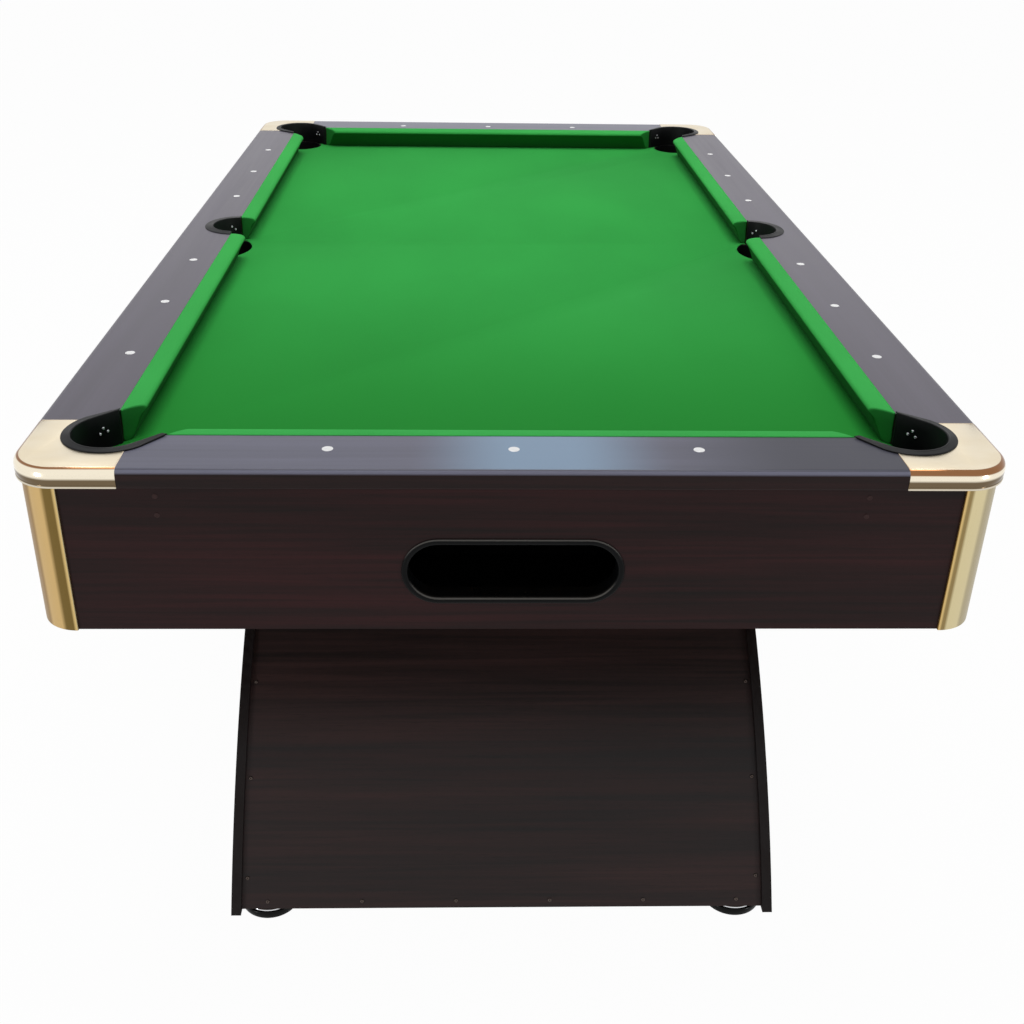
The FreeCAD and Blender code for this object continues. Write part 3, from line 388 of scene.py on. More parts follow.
def brushed_gold(name, base):
    """Extruded aluminium, brushed along its length and anodised pale gold."""
    # Long upright lines spread each reflection sideways. Upright bands of painted reflection, bright at
    # the laps and darker between them, are laid by the way the surface faces.
    material, tree, surface = new_material(name, {
        "Base Color": shade(base), "Metallic": 1, "Roughness": 0.34, "Anisotropic": 0.4})
    lines = add_node(tree, "ShaderNodeTexNoise", {
        "Vector": object_place(tree, (0.8, 0.8, 140)), "Scale": 1, "Detail": 3, "Roughness": 0.6})
    tone = lay(tree, shade(base, 0.86), shade(base, 1.08), lines)
    across = reading(tree, "Normal", "X")
    # Painted reflections: lighter and darker bands by the side the surface faces.
    for start, stop, factors in ((-0.92, -0.86, (0.62, 0.52, 0.36)), (-0.7, -0.62, (1.2, 1.18, 1.24)),
                                 (-0.36, -0.26, (0.36, 0.34, 0.25)), (-0.08, -0.03, (1.3, 1.35, 1.4)),
                                 (0.03, 0.07, (0.56, 0.58, 0.6)), (0.13, 0.2, (1.28, 1.58, 2.3)),
                                 (0.47, 0.56, (0.82, 1.0, 1.5)), (0.9, 0.97, (1.15, 1.2, 1.3))):
        tone = lay(tree, tone, shade(base, *factors), across, start, stop)
    connect(surface, tone, (lines, 0.3, 0.7, 0.27, 0.4), (lines, 0.3, 0.04))
    return material


def plated_steel(name, base, rough, patch):
    """Steel hardware, turned or pressed and then plated."""
    # Small cloudy patches vary the gloss, as the crystals of the plating do.
    material, tree, surface = new_material(name, {
        "Base Color": shade(base), "Metallic": 1, "Roughness": rough})
    cloud = add_node(tree, "ShaderNodeTexNoise", {
        "Vector": object_place(tree, patch), "Scale": 1, "Detail": 3})
    tone = lay(tree, shade(base, 0.85), shade(base), cloud)
    connect(surface, tone, (cloud, 0.3, 0.7, rough * 0.75, rough * 1.3))
    return material


def polished_acrylic(name, base):
    """Cast acrylic, turned and buffed."""
    # Clean white with a clear gloss and a faint milky depth.
    material, tree, surface = new_material(name, {
        "Base Color": shade(base), "Roughness": 0.12, "IOR": 1.49, "Coat Weight": 0.4,
        "Coat Roughness": 0.05})
    cloud = add_node(tree, "ShaderNodeTexNoise", {
        "Vector": object_place(tree, 4), "Scale": 1, "Detail": 2})
    connect(surface, lay(tree, shade(base, 0.95), shade(base), cloud))
    return material


FINISHES = {
    "side_rail_laminate": lambda c: laminate(
        "mahogany_laminate_along_sides", c.rail_dark, c.rail_light, "y", 0.32, 0.16, c.rail_top_sheen),
    "end_rail_laminate": lambda c: laminate(
        "mahogany_laminate_along_ends", c.rail_dark, c.rail_light, "x", 0.32, 0.16, c.end_top_sheen),
    "foot_rail_laminate": lambda c: laminate(
        "mahogany_laminate_foot_end", c.rail_dark, c.rail_light, "x", 0.32, 0.16, c.end_top_sheen, c.foot_rail_reflection),
    "end_cabinet_laminate": lambda c: laminate(
        "espresso_laminate_along_ends", c.cabinet_dark, c.cabinet_light, "x", 0.36, 0.14),
    "side_cabinet_laminate": lambda c: laminate(
        "espresso_laminate_along_sides", c.cabinet_dark, c.cabinet_light, "y", 0.36, 0.14),
    "panel_laminate": lambda c: laminate(
        "espresso_laminate_base_panels", c.base_dark, c.base_light, "x", 0.4, 0.2),
    "side_board_laminate": lambda c: laminate(
        "black_laminate_base_sides", c.cabinet_dark, c.base_dark, "y", 0.42, 0.14),
    "bed_cloth": lambda c: playing_cloth("napped_wool_cloth_bed", c.bed_cloth, 0.45, foot_shade=c.bed_foot_shade),
    "cushion_cloth": lambda c: playing_cloth(
        "napped_wool_cloth_cushions", c.cushion_cloth, 0.06, nose_shade=shade(c.bed_cloth, 0.33)),
    "board": lambda c: fibreboard("bare_fibreboard", c.board),
    "pocket": lambda c: moulded_plastic("moulded_abs_pockets", c.pocket, 0.42, 0.7, 0.13),
    "bezel": lambda c: moulded_plastic("satin_abs_bezel", c.bezel, 0.28, 0.9, 0.08, c.edge_highlight),
    "cover": lambda c: moulded_plastic("brown_abs_screw_covers", c.base_light, 0.45, 0.9, 0.1),
    "foot": lambda c: moulded_plastic("gloss_nylon_feet", c.foot, 0.2, 1.5, 0.1),
    "cap": lambda c: polished_gold("plated_zinc_caps", c.cap, c.cap_shoulder_reflection, c.cap_face_shade),
    "trim": lambda c: brushed_gold("brushed_anodised_trims", c.trim),
    "zinc": lambda c: plated_steel("bright_zinc_plated_steel", c.zinc, 0.3, 3.0),
    "chrome": lambda c: plated_steel("chromed_steel_rings", c.chrome, 0.07, 9.0),
    "screw": lambda c: plated_steel("bronzed_steel_screws", c.screw, 0.38, 1.5),
    "sight": lambda c: polished_acrylic("polished_white_acrylic", c.sight),
}
MADE = {}


def finish(key):
    """The material of a finish, made once."""
    if key not in MADE:
        MADE[key] = FINISHES[key](colours())
    return MADE[key]


def dress(key, *nodes):
    """Gives CAD nodes that stay in view their better material."""
    for node in nodes:
        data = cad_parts[node].data
        for index in range(len(data.materials)):
            data.materials[index] = finish(key)


# Mesh tools

def clean_mesh(name, points, faces):
    """Mesh with its doubled points joined and its faces turned outwards."""
    mesh = bpy.data.meshes.new(name)
    mesh.from_pydata([tuple(p) for p in points], [], faces)
    work = bmesh.new()
    work.from_mesh(mesh)
    bmesh.ops.remove_doubles(work, verts=work.verts, dist=1e-7)
    bmesh.ops.recalc_face_normals(work, faces=work.faces)
    work.to_mesh(mesh)
    work.free()
    return mesh


def add_piece(name, parts, material, body="table", nodes=(), crease=35):
    """One object from (vertices, faces) parts, smooth but for its sharp edges, riding on a body."""
    points, faces = [], []
    for part_points, part_faces in parts:
        faces += [[len(points) + k for k in face] for face in part_faces]
        points += part_points
    mesh = clean_mesh(name, points, faces)
    mesh.validate()
    mesh.materials.append(finish(material))
    mesh.shade_smooth()
    mesh.set_sharp_from_angle(angle=math.radians(crease))
    piece = bpy.data.objects.new(name, mesh)
    bpy.context.scene.collection.objects.link(piece)
    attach(piece, body)
    if nodes:
        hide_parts(*nodes)
    return piece


def skin(rings, along=False):
    """Faces between rings of equally many points. Two lids close it, unless along joins last to first."""
    count = len(rings[0])
    points = [p for ring in rings for p in ring]
    faces = []
    for r in range(len(rings) if along else len(rings) - 1):
        here, there = r * count, (r + 1) % len(rings) * count
        for k in range(count):
            n = (k + 1) % count
            faces.append([here + k, here + n, there + n, there + k])
    if not along:
        faces += [list(range(count)), [len(points) - 1 - k for k in range(count)]]
    return points, faces


def lathe(profile, centre, segments, along=False):
    """Round solid from (radius, height) points. A radius of zero closes an end."""
    cx, cy, cz = centre
    turns = [math.tau * k / segments for k in range(segments)]
    return skin([[(cx + max(r, 1e-5) * math.cos(a), cy + max(r, 1e-5) * math.sin(a), cz + h)
                  for a in turns] for r, h in profile], along)


def smooth_loop(points, steps):
    """Points on a smooth closed curve through the given ones."""
    result = []
    for k in range(len(points)):
        a, b, c, d = (points[(k + j - 1) % len(points)] for j in range(4))
        for t in (step / steps for step in range(steps)):
            result.append(tuple((2 * q + t * (r - p) + t * t * (2 * p - 5 * q + 4 * r - u)
                                 + t ** 3 * (3 * q - p - 3 * r + u)) / 2
                                for p, q, r, u in zip(a, b, c, d)))
    return result


def mirrored(part, side, end):
    """A part made for the right-hand head corner, put at another one."""
    points, faces = part
    return [(x * side, y * end, z) for x, y, z in points], faces


def carved(part, keep, hole, bevel):
    """A solid kept inside one shape and cut by another, with a fine bevel along its edges."""
    solids = [bpy.data.objects.new("carving", clean_mesh("carving", *p)) for p in (part, keep, hole)]
    for solid in solids:
        bpy.context.scene.collection.objects.link(solid)
    for tool, kind in zip(solids[1:], ("INTERSECT", "DIFFERENCE")):
        cut = solids[0].modifiers.new("cut", "BOOLEAN")
        cut.operation, cut.object, cut.solver = kind, tool, "EXACT"
    edge = solids[0].modifiers.new("edge", "BEVEL")
    edge.width, edge.segments, edge.limit_method = bevel, 2, "ANGLE"
    edge.angle_limit = math.radians(50)
    drawn = solids[0].evaluated_get(bpy.context.evaluated_depsgraph_get())
    result = bpy.data.meshes.new_from_object(drawn)
    for solid in solids:
        bpy.data.objects.remove(solid)
    return [tuple(v.co) for v in result.vertices], [list(f.vertices) for f in result.polygons]


def plan_prism(outline, low, high):
    """Upright prism over a plan outline."""
    return skin([[(x, y, z) for x, y in outline] for z in (low, high)])


def arc_points(cx, cy, radius, start, stop, steps):
    """Points on an arc, with its angles in degrees."""
    turns = [math.radians(start + (stop - start) * k / steps) for k in range(steps + 1)]
    return [(cx + radius * math.cos(a), cy + radius * math.sin(a)) for a in turns]


# Pieces of the playing surface

def corner_centre():
    inset = sizes().corner_inset
    return HALF_WIDTH - inset, HALF_LENGTH - inset


def diagonal(inward, across):
    """Plan point by its distances from a corner pocket's middle, along and across its diagonal."""
    (cx, cy), half = corner_centre(), math.sqrt(0.5)
    return cx - (inward + across) * half, cy - (inward - across) * half


def middle_centre():
    return HALF_WIDTH - sizes().middle_inset


def shallow_arc(depth, half):
    """Plan arc over a middle pocket's front, from -half to half along the rail."""
    radius = (half ** 2 + depth ** 2) / (2 * depth)
    spread = math.degrees(math.asin(half / radius))
    return arc_points(middle_centre() - depth + radius, 0, radius, 180 + spread, 180 - spread, 28)


def cushion_section():
    """Closed loop of (reach from the cloth line, height over the cloth), crowned and hollow under."""
    points = [(0.3, 0.3), (0.3, 22), (0.3, 43.6), (1.4, 45.2), (5, 45.7), (10, 45.5), (15, 45.0),
              (20, 44.1), (23.4, 43.0), (26.0, 41.2), (27.4, 38.4), (27.3, 35.6), (25.8, 33.4),
              (23.2, 30.4), (19.2, 23), (15, 13.5), (11.6, 5), (9.2, 0.4)]
    return [(a * MM, b * MM) for a, b in points]


def cushion(place, start, stop):
    """Cushion whose ends follow start(reach) and stop(reach) along the rail, folded over at each end."""
    section = smooth_loop(cushion_section(), 4)
    middle = [sum(p[k] for p in section) / len(section) for k in (0, 1)]
    edge = sizes().cushion_edge
    folds = arc_points(edge, edge, edge, 180, 270, 5)
    lids = (0.02, 0.25, 0.5, 0.75)

    def ring(at, inset=0, shrink=0, share=1):
        """The section at a place between the ends, shrunk by a distance or to a share of its size."""
        points = []
        for reach, up in section:
            dr, du = reach - middle[0], up - middle[1]
            scale = share * (1 - shrink / math.hypot(dr, du))
            r = middle[0] + dr * scale
            low, high = start(r) + inset, stop(r) - inset
            points.append(place(r, low + (high - low) * at, CLOTH_Z + middle[1] + du * scale))
        return points

    rings = [ring(0, share=share) for share in lids] + [ring(0, *fold) for fold in folds]
    rings += [ring(k / 24, edge) for k in range(1, 24)]
    rings += [ring(1, *fold) for fold in folds[::-1]] + [ring(1, share=share) for share in lids[::-1]]
    return skin(rings)


def build_cushions():
    nose, flare = sizes().cushion_reach, sizes().middle_flare
    side_start, side_stop, end_stop = CUSHION_LOW.y, CUSHION_HIGH.y, END_CUSHION_HIGH.x
    sites = [(name, side, end, lambda r: side_start + flare * r / nose, lambda r: side_stop - r)
             for side, end, name in CORNERS]
    sites += [(name, 0, end, lambda r: r - end_stop, lambda r: end_stop - r) for end, name in ENDS]
    for name, side, end, start, stop in sites:
        part = cushion(lambda r, run, z: ((side * (LINE_X - r), end * run, z) if side
                                          else (run, end * (LINE_Y - r), z)), start, stop)
        piece = add_piece("cloth_" + name + "_cushion", [part], "cushion_cloth",
                          nodes=[name + "_cushion"])


def cloth_outline(grow):
    """Plan of the bed cloth's right half, from the foot end to the head end, with pocket cuts."""
    cx, cy = corner_centre()
    mx = middle_centre()
    cut = sizes().hole_radius + sizes().liner_wall + grow
    x, y = CLOTH_REACH_X - grow, CLOTH_REACH_Y - grow
    side_angle = math.degrees(math.acos((x - cx) / cut))
    end_angle = math.degrees(math.asin((y - cy) / cut))
    corner = arc_points(cx, cy, cut, 360 - side_angle, 180 - end_angle, 40)
    out = math.degrees(math.acos((x - mx) / cut))
    low = arc_points(mx, 0, cut, -out, -90, 8)
    shallow = shallow_arc(sizes().middle_front + grow, cut)
    high = arc_points(mx, 0, cut, 90, out, 8)
    return [(a, -b) for a, b in corner[::-1]] + low + shallow[1:-1] + high + corner


def build_bed():
    gap, fold = 0.5 * MM, 0.35 * MM
    rings = []
    for grow, z in ((gap, BED_Z), (gap, CLOTH_Z - fold), (gap + fold * 0.3, CLOTH_Z - fold * 0.3),
                    (gap + fold, CLOTH_Z)):
        right = cloth_outline(grow)
        rings.append([(x, y, z) for x, y in right] + [(-x, -y, z) for x, y in right])
    cloth = add_piece("stretched_bed_cloth", [skin(rings)], "bed_cloth",
                      nodes=["bed_cloth"])
    dress("board", "bed_board")


def flange_section(width, low, top, bead, wall, bottom):
    """Closed loop of (distance out from the hole, height, taper share) of a liner's rim and wall."""
    flat = top - bead
    return [(0, bottom, 0), (0, top - 1.4 * MM, 0), (0.25 * MM, top - 0.5 * MM, 0), (0.9 * MM, top, 0),
            (2.0 * MM, top, 0), (2.7 * MM, top - bead * 0.5, 0), (wall + 0.6 * MM, flat, 0),
            (width - 1.8 * MM, flat - 0.1 * MM, 1), (width - 0.7 * MM, flat - 0.45 * MM, 1),
            (width, flat - 1.1 * MM, 1), (width, low, 1), (wall, low, 0), (wall, bottom, 0)]


def tube_section(wall):
    """Closed loop of (distance out from the hole, height) of a liner's tube through the bed."""
    return [(0, LINER_LOW.z), (0, CLOTH_Z - 1.6 * MM), (0.6 * MM, CLOTH_Z - MM),
            (wall - 0.6 * MM, CLOTH_Z - MM), (wall, CLOTH_Z - 1.6 * MM), (wall, LINER_LOW.z)]


def corner_liner():
    """Rim with two jaws that taper along the cloth lines, over a tube through the bed."""
    s = sizes()
    cx, cy = corner_centre()
    radius, wall = s.hole_radius, s.liner_wall
    past = (LINE_X + 0.3 * MM - cx) * math.sqrt(2)
    top, low = LINER_HIGH.z, CAP_HIGH.z
    section = flange_section(s.corner_flange, low, top, s.flange_bead, wall, CLOTH_Z)
    stations = [(-90, 1 - k / 10) for k in range(10)] + [(180 * k / 56 - 90, 0) for k in range(57)]
    stations += [(90, (k + 1) / 10) for k in range(10)]
    rings = []
    for turn, share in stations:
        a = math.radians(turn)
        ring = []
        for out, z, taper in section:
            w = radius + (wall + (out - wall) * (1 - 0.72 * share) if taper else out)
            ring.append((*diagonal((w - past) * share - w * math.cos(a), w * math.sin(a)), z))
        rings.append(ring)
    tube = [[(x, y, z) for x, y in arc_points(cx, cy, radius + out, 0, 360, 72)[:-1]]
            for out, z in tube_section(wall)]
    screws = []
    for v in (-1, 1):
        for u, up in ((14 * MM, 30 * MM), (20 * MM, 24 * MM), (9 * MM, 23 * MM)):
            at = Vector((*diagonal(u, v * (radius - 0.9 * MM)), CLOTH_Z + up))
            facing = Vector((v, -v, 0)).normalized()
            screws.append(screw_head(at, facing, s.pocket_screw, s.pocket_screw_rise))
    return skin(rings), skin(tube, along=True), screws


def middle_liner():
    """Rim round the rail's side of the hole, over a tube that follows the bed's shallow arc."""
    s = sizes()
    mx = middle_centre()
    radius, wall = s.hole_radius, s.liner_wall
    section = flange_section(s.middle_flange, RAIL_Z, MIDDLE_HIGH.z, s.flange_bead, wall, CLOTH_Z)
    edge = LINE_X + 0.3 * MM - mx
    rings = []
    for k in range(61):
        ring = []
        for out, z, _ in section:
            w = radius + out
            spread = math.acos(edge / w)
            a = spread * (2 * k / 60 - 1)
            ring.append((mx + w * math.cos(a), w * math.sin(a), z))
        rings.append(ring)
    tube = []
    for out, z in tube_section(wall):
        r = radius + out
        outline = arc_points(mx, 0, r, -90, 90, 36)
        outline += shallow_arc(s.middle_front + out, r)[-2:0:-1]
        tube.append([(x, y, z) for x, y in outline])
    screws, inner = [], radius - 0.9 * MM
    for v in (-1, 1):
        for turn, up in ((62, 30 * MM), (70, 24 * MM)):
            x, y = math.cos(math.radians(turn)), math.sin(math.radians(turn)) * v
            screws.append(screw_head(Vector((mx + inner * x, inner * y, CLOTH_Z + up)),
                                     Vector((-x, -y, 0)), s.pocket_screw, s.pocket_screw_rise))
    return skin(rings), skin(tube, along=True), screws


def screw_head(at, facing, radius, height):
    """Domed head with a cross recess, facing along a direction, from at outwards."""
    profile = ((1, 0, 0), (1, 0.35, 0), (0.86, 0.75, 0), (0.6, 0.97, 0), (0.42, 1, 0),
               (0.34, 0.98, 0.55), (0.16, 0.7, 0.5), (0.02, 0.45, 0))
    turn = facing.to_track_quat("Z", "Y").to_matrix()
    rings = []
    for share, up, recess in profile:
        ring = []
        for k in range(16):
            a, arm = math.tau * k / 16, 0.6 if k % 4 == 0 else 0
            ring.append(at + turn @ Vector((radius * share * math.cos(a), radius * share * math.sin(a),
                                            height * (up - recess * arm))))
        rings.append(ring)
    return skin(rings)


def build_liners():
    *corner, corner_screws = corner_liner()
    *middle, middle_screws = middle_liner()
    parts, heads = ([mirrored(p, side, end) for side, end, _ in CORNERS for p in four]
                    + [mirrored(p, side, 1) for side, _ in SIDES for p in two]
                    for four, two in ((corner, middle), (corner_screws, middle_screws)))
    add_piece("moulded_pocket_liners", parts, "pocket",
              nodes=["corner_pocket_liners", "middle_pocket_liners"], crease=38)
    add_piece("pocket_screws", heads, "zinc", crease=60)


def build_sights():
    s = sizes()
    radius, dome = s.sight_radius, s.sight_dome
    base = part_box("rail_sights")[0].z - RAIL_Z
    profile = [(0, base), (radius * 0.86, base), (radius * 0.86, 0), (radius, 0), (radius, dome * 0.35),
               (radius * 0.9, dome * 0.72), (radius * 0.6, dome * 0.94), (0, dome)]
    sites = []
    for sign in (-1, 1):
        sites += [(step * s.sight_step, sign * (HALF_LENGTH - s.sight_inset)) for step in (-1, 0, 1)]
        sites += [(sign * (HALF_WIDTH - s.sight_inset), step * s.sight_step)
                  for step in (-3, -2, -1, 1, 2, 3)]
    parts = [lathe(profile, (x, y, RAIL_Z), 40) for x, y in sites]
    add_piece("round_sights", parts, "sight", nodes=["rail_sights"])


# Metal of the corners

def cap_outline(inset, back_x, back_y):
    """Plan of a cap's rounded corner, shrunk by inset, back to two lines inside the table."""
    s = sizes()
    x, y = CAP_HIGH.x - inset, CAP_HIGH.y - inset
    radius = max(s.cap_radius - inset, 0.5 * MM)
    corner = arc_points(x - radius, y - radius, radius, 0, 90, 28)
    return [(back_x, back_y), (x, back_y), *corner, (back_x, y)]


def corner_cap():
    """Thin shell with rounded top edges, a groove over its bottom lip and a fine bevel along its cut edges;
    its beads come from cap_bead.
    """
    s = sizes()
    back_x, back_y = HALF_WIDTH - 200 * MM, HALF_LENGTH - 230 * MM
    low, top, r = CAP_LOW.z, CAP_HIGH.z, s.cap_round
    outer = [(0.5 * MM, low), (0, low + 0.5 * MM), (0, low + 2.0 * MM), (0.35 * MM, low + 2.4 * MM),
             (0.9 * MM, low + 2.7 * MM), (0.9 * MM, low + 4.5 * MM), (0.55 * MM, low + 4.9 * MM),
             (0.25 * MM, low + 6.2 * MM), (0.06 * MM, low + 9.0 * MM), (0, low + 11.0 * MM)]
    rise = top - low - s.cap_upright
    outer += [(r * (1 - math.cos(a)), top - rise + rise * math.sin(a))
              for a in (math.radians(90 * k / 12) for k in range(13))]
    inner = arc_points(r, top - r, r - s.cap_wall, 90, 180, 6) + [(s.cap_wall, low)]
    rings = [[(x, y, z) for x, y in cap_outline(i, back_x, back_y)] for i, z in outer + inner]
    points, faces = skin(rings, along=True)
    count = len(rings[0])
    top_ring = len(outer) - 1
    # The shell is a closed loop of rings, so its flat top and ceiling are two lids instead of a band.
    faces = [f for f in faces if not (top_ring * count <= min(f) and max(f) < (top_ring + 2) * count)]
    faces.append([top_ring * count + k for k in range(count)])
    faces.append([(top_ring + 1) * count + k for k in range(count)][::-1])
    far_x, far_y = CAP_HIGH.x + 20 * MM, CAP_HIGH.y + 20 * MM
    footprint = [(HALF_WIDTH - s.cap_end, LINE_Y), (LINE_X, LINE_Y), (LINE_X, HALF_LENGTH - s.cap_side),
                 (far_x, HALF_LENGTH - s.cap_side), (far_x, far_y), (HALF_WIDTH - s.cap_end, far_y)]
    keep = plan_prism(footprint, low - 5 * MM, top + 5 * MM)
    cut, reach = s.hole_radius + s.liner_wall + 0.3 * MM, 140 * MM
    opening = arc_points(0, 0, cut, 90, 270, 48) + [(reach, -cut), (reach, cut)]
    hole = plan_prism([diagonal(*p) for p in opening], low - 10 * MM, top + 10 * MM)
    return carved((points, faces), keep, hole, 0.45 * MM)


def cap_bead():
    """Raised bead that follows a cap's two straight cut edges over the top and down the face."""
    s = sizes()
    r, flat, thick = s.cap_round, CAP_HIGH.z - 0.15 * MM, s.cap_bead / 2
    rise = CAP_HIGH.z - CAP_LOW.z - s.cap_upright
    under = s.hole_radius + s.corner_flange - 2 * MM
    cx, cy = corner_centre()
    parts = []
    for along_end, edge, at, beside, middle in (
            (True, CAP_HIGH.y, HALF_WIDTH - s.cap_end + thick, cx, cy),
            (False, CAP_HIGH.x, HALF_LENGTH - s.cap_side + thick, cy, cx)):
        face = edge - 0.4 * MM
        line = [(middle + math.sqrt(under ** 2 - (beside - at) ** 2), flat), (face - r - 12 * MM, flat)]
        line += [(face - r + r * math.sin(a), flat - rise + rise * math.cos(a))
                 for a in (math.radians(90 * k / 8) for k in range(9))]
        line += [(face, CAP_LOW.z + 2 * MM)]
        rings = []
        for k, (out, z) in enumerate(line):
            before, after = line[max(k - 1, 0)], line[min(k + 1, len(line) - 1)]
            run = Vector((after[0] - before[0], after[1] - before[1])).normalized()
            ring = []
            for a in (math.tau * j / 10 for j in range(10)):
                across, lift = thick * math.cos(a), thick * 0.45 * math.sin(a)
                o, h = out - run.y * lift, z + run.x * lift
                ring.append((at + across, o, h) if along_end else (o, at + across, h))
            rings.append(ring)
        parts.append(skin(rings))
    return parts


def build_caps():
    parts = [corner_cap(), *cap_bead()]
    for side, end, corner in CORNERS:
        add_piece(corner + "_cap", [mirrored(p, side, end) for p in parts], "cap",
                  nodes=["corner_caps"], crease=28)


def build_trims():
    s = sizes()
    cx, cy = TRIM_HIGH.x - s.trim_radius, TRIM_HIGH.y - s.trim_radius
    far_x, far_y = APRON_X + s.trim_stand, APRON_Y + s.trim_stand
    out, inner = far_x - cx, s.trim_radius - s.trim_wall
    lap, edge = s.trim_lap, 0.6 * MM
    outline = [(far_x - edge, cy - lap), (far_x, cy - lap + edge)]
    outline += arc_points(cx, cy, out, 0, 90, 40)
    outline += [(cx - lap + edge, far_y), (cx - lap, far_y - edge), (cx - lap, APRON_Y), (cx, APRON_Y)]
    outline += arc_points(cx, cy, inner, 90, 0, 32)
    outline += [(APRON_X, cy), (APRON_X, cy - lap)]
    part = plan_prism(outline, TRIM_LOW.z, TRIM_HIGH.z)
    parts = [mirrored(part, side, end) for side, end, _ in CORNERS]
    add_piece("quarter_round_trims", parts, "trim", nodes=["corner_trims"], crease=30)


# Cabinet, ball return and base

def stadium_ring(half_length, radius, out, y, z):
    """Points round a slot with round ends, out from its edge, in an upright plane."""
    straight = half_length - radius
    right = arc_points(straight, 0, radius + out, -90, 90, 24)
    left = arc_points(-straight, 0, radius + out, 90, 270, 24)
    return [(x, y, z + up) for x, up in right + left]


def build_bezel():
    s = sizes()
    rim = s.bezel_rim
    z = (BEZEL_LOW.z + BEZEL_HIGH.z) / 2
    half, radius = BEZEL_HIGH.x - rim, (BEZEL_HIGH.z - BEZEL_LOW.z) / 2 - rim
    front, back, face = BEZEL_LOW.y, BEZEL_HIGH.y, -APRON_Y
    section = [(0, back), (0, front + 2.4 * MM), (0.5 * MM, front + 1.1 * MM), (1.7 * MM, front + 0.3 * MM),
               (3.2 * MM, front), (rim - 2.6 * MM, front), (rim - 1.1 * MM, front + 0.35 * MM),
               (rim - 0.3 * MM, front + 1.1 * MM), (rim, front + 2.1 * MM), (rim, face),
               (2 * MM, face), (2 * MM, back)]
    rings = [stadium_ring(half, radius, out, y, z) for out, y in section]
    add_piece("oval_return_bezel", [skin(rings, along=True)], "bezel",
              nodes=["return_bezel"], crease=40)
    dress("bezel", "return_box")


def build_cabinet():
    dress("foot_rail_laminate", "foot_rail")
    dress("end_rail_laminate", "head_rail")
    dress("side_rail_laminate", "left_rail", "right_rail")
    dress("end_cabinet_laminate", "foot_apron", "head_apron")
    dress("side_cabinet_laminate", "left_apron", "right_apron")
    # Small caps over the screws that fix the aprons to the corner blocks
    s, top = sizes(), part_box("head_apron")[1].z
    profile = [(0, 0), (3.4 * MM, 0), (3.4 * MM, 0.3 * MM), (2.9 * MM, 0.7 * MM), (1.6 * MM, 0.55 * MM),
               (0, 0.5 * MM)]
    points, faces = lathe(profile, (0, 0, 0), 24)
    covers = []
    for x in (-s.cover_out, s.cover_out):
        for drop in (14 * MM, 40 * MM):
            for end in (-1, 1):
                turn = Vector((0, end, 0)).to_track_quat("Z", "Y").to_matrix()
                site = Vector((x, end * APRON_Y, top - drop))
                covers.append(([turn @ Vector(p) + site for p in points], faces))
    add_piece("screw_covers", covers, "cover")


def build_framework():
    dress("board", "corner_blocks", "long_beams", "cross_beams", "end_beams", "gutter_saddles",
          "gutter_floors", "gutter_sides", "gutter_ends", "leg_bottom_plates", "leg_top_plates")
    dress("zinc", "frame_bolts", "threaded_inserts")


def panel_arc():
    """Radius of the arc of an outer panel's face, and its middle's height in the table's middle plane."""
    (foot, low), (crown, high) = (PANEL_HIGH.y, PANEL_LOW.z), (PANEL_LOW.y, PANEL_HIGH.z)
    centre = (foot ** 2 - crown ** 2 + low ** 2 - high ** 2) / (2 * (low - high))
    return centre, math.hypot(foot, low - centre)


def build_base():
    s = sizes()
    centre, radius = panel_arc()
    row, first = (math.asin((PANEL_LOW.z + up - centre) / radius) for up in (9 * MM, 39 * MM))
    last = math.asin((PANEL_HIGH.z - 20 * MM - centre) / radius)
    turns = [first + k * s.screw_step / radius for k in range(7)]
    sites = [(sign * (PANEL_HIGH.x - 8 * MM), a) for a in turns if a < last for sign in (-1, 1)]
    sites += [(k * 72.5 * MM, row) for k in (-5, -3, -1, 1, 3, 5)]
    heads = []
    for end, end_name in ENDS:
        leg = end_name + "_leg_"
        dress("panel_laminate", leg + "outer_panel", leg + "inner_panel")
        dress("side_board_laminate", leg + "left_side", leg + "right_side")
        for x, a in sites:
            y, z = math.cos(a), math.sin(a)
            heads.append(screw_head(Vector((x, end * radius * y, centre + radius * z)),
                                    Vector((0, end * y, z)), s.screw_radius, s.screw_rise))
    add_piece("panel_screws", heads, "screw", crease=60)


# Levelling feet

def pad_parts():
    """Rounded foot with a shallow dish and a hole for the stud's head, and the bright collar on it."""
    at = ((PAD_LOW.x + PAD_HIGH.x) / 2, (PAD_LOW.y + PAD_HIGH.y) / 2, 0)
    r, h = (PAD_HIGH.x - PAD_LOW.x) / 2, PAD_HIGH.z
    collar = sizes().pad_collar
    hole = (STUD_HIGH.x - STUD_LOW.x) / 2 + 0.4 * MM
    edge = arc_points(r - 2 * MM, 2 * MM, 2 * MM, -90, 0, 5)
    crown = arc_points(collar - 4.6 * MM, h - 3 * MM, 3 * MM, 0, 90, 6)
    profile = [(hole, 10 * MM), (hole, 1.2 * MM), (r * 0.5, 1.2 * MM), (r * 0.6, 0), *edge,
               (r, 8.6 * MM), (r - 0.7 * MM, 10.6 * MM), (r - 2.4 * MM, 12 * MM), (collar, 12.6 * MM),
               (collar - 1.6 * MM, 14.2 * MM), *crown, (hole + 1.2 * MM, h), (hole, h - 1.2 * MM)]
    bead = arc_points(collar, 13.4 * MM, 1.7 * MM, 0, 360, 12)[:-1]
    return lathe(profile, at, 72, along=True), lathe(bead, at, 72, along=True)


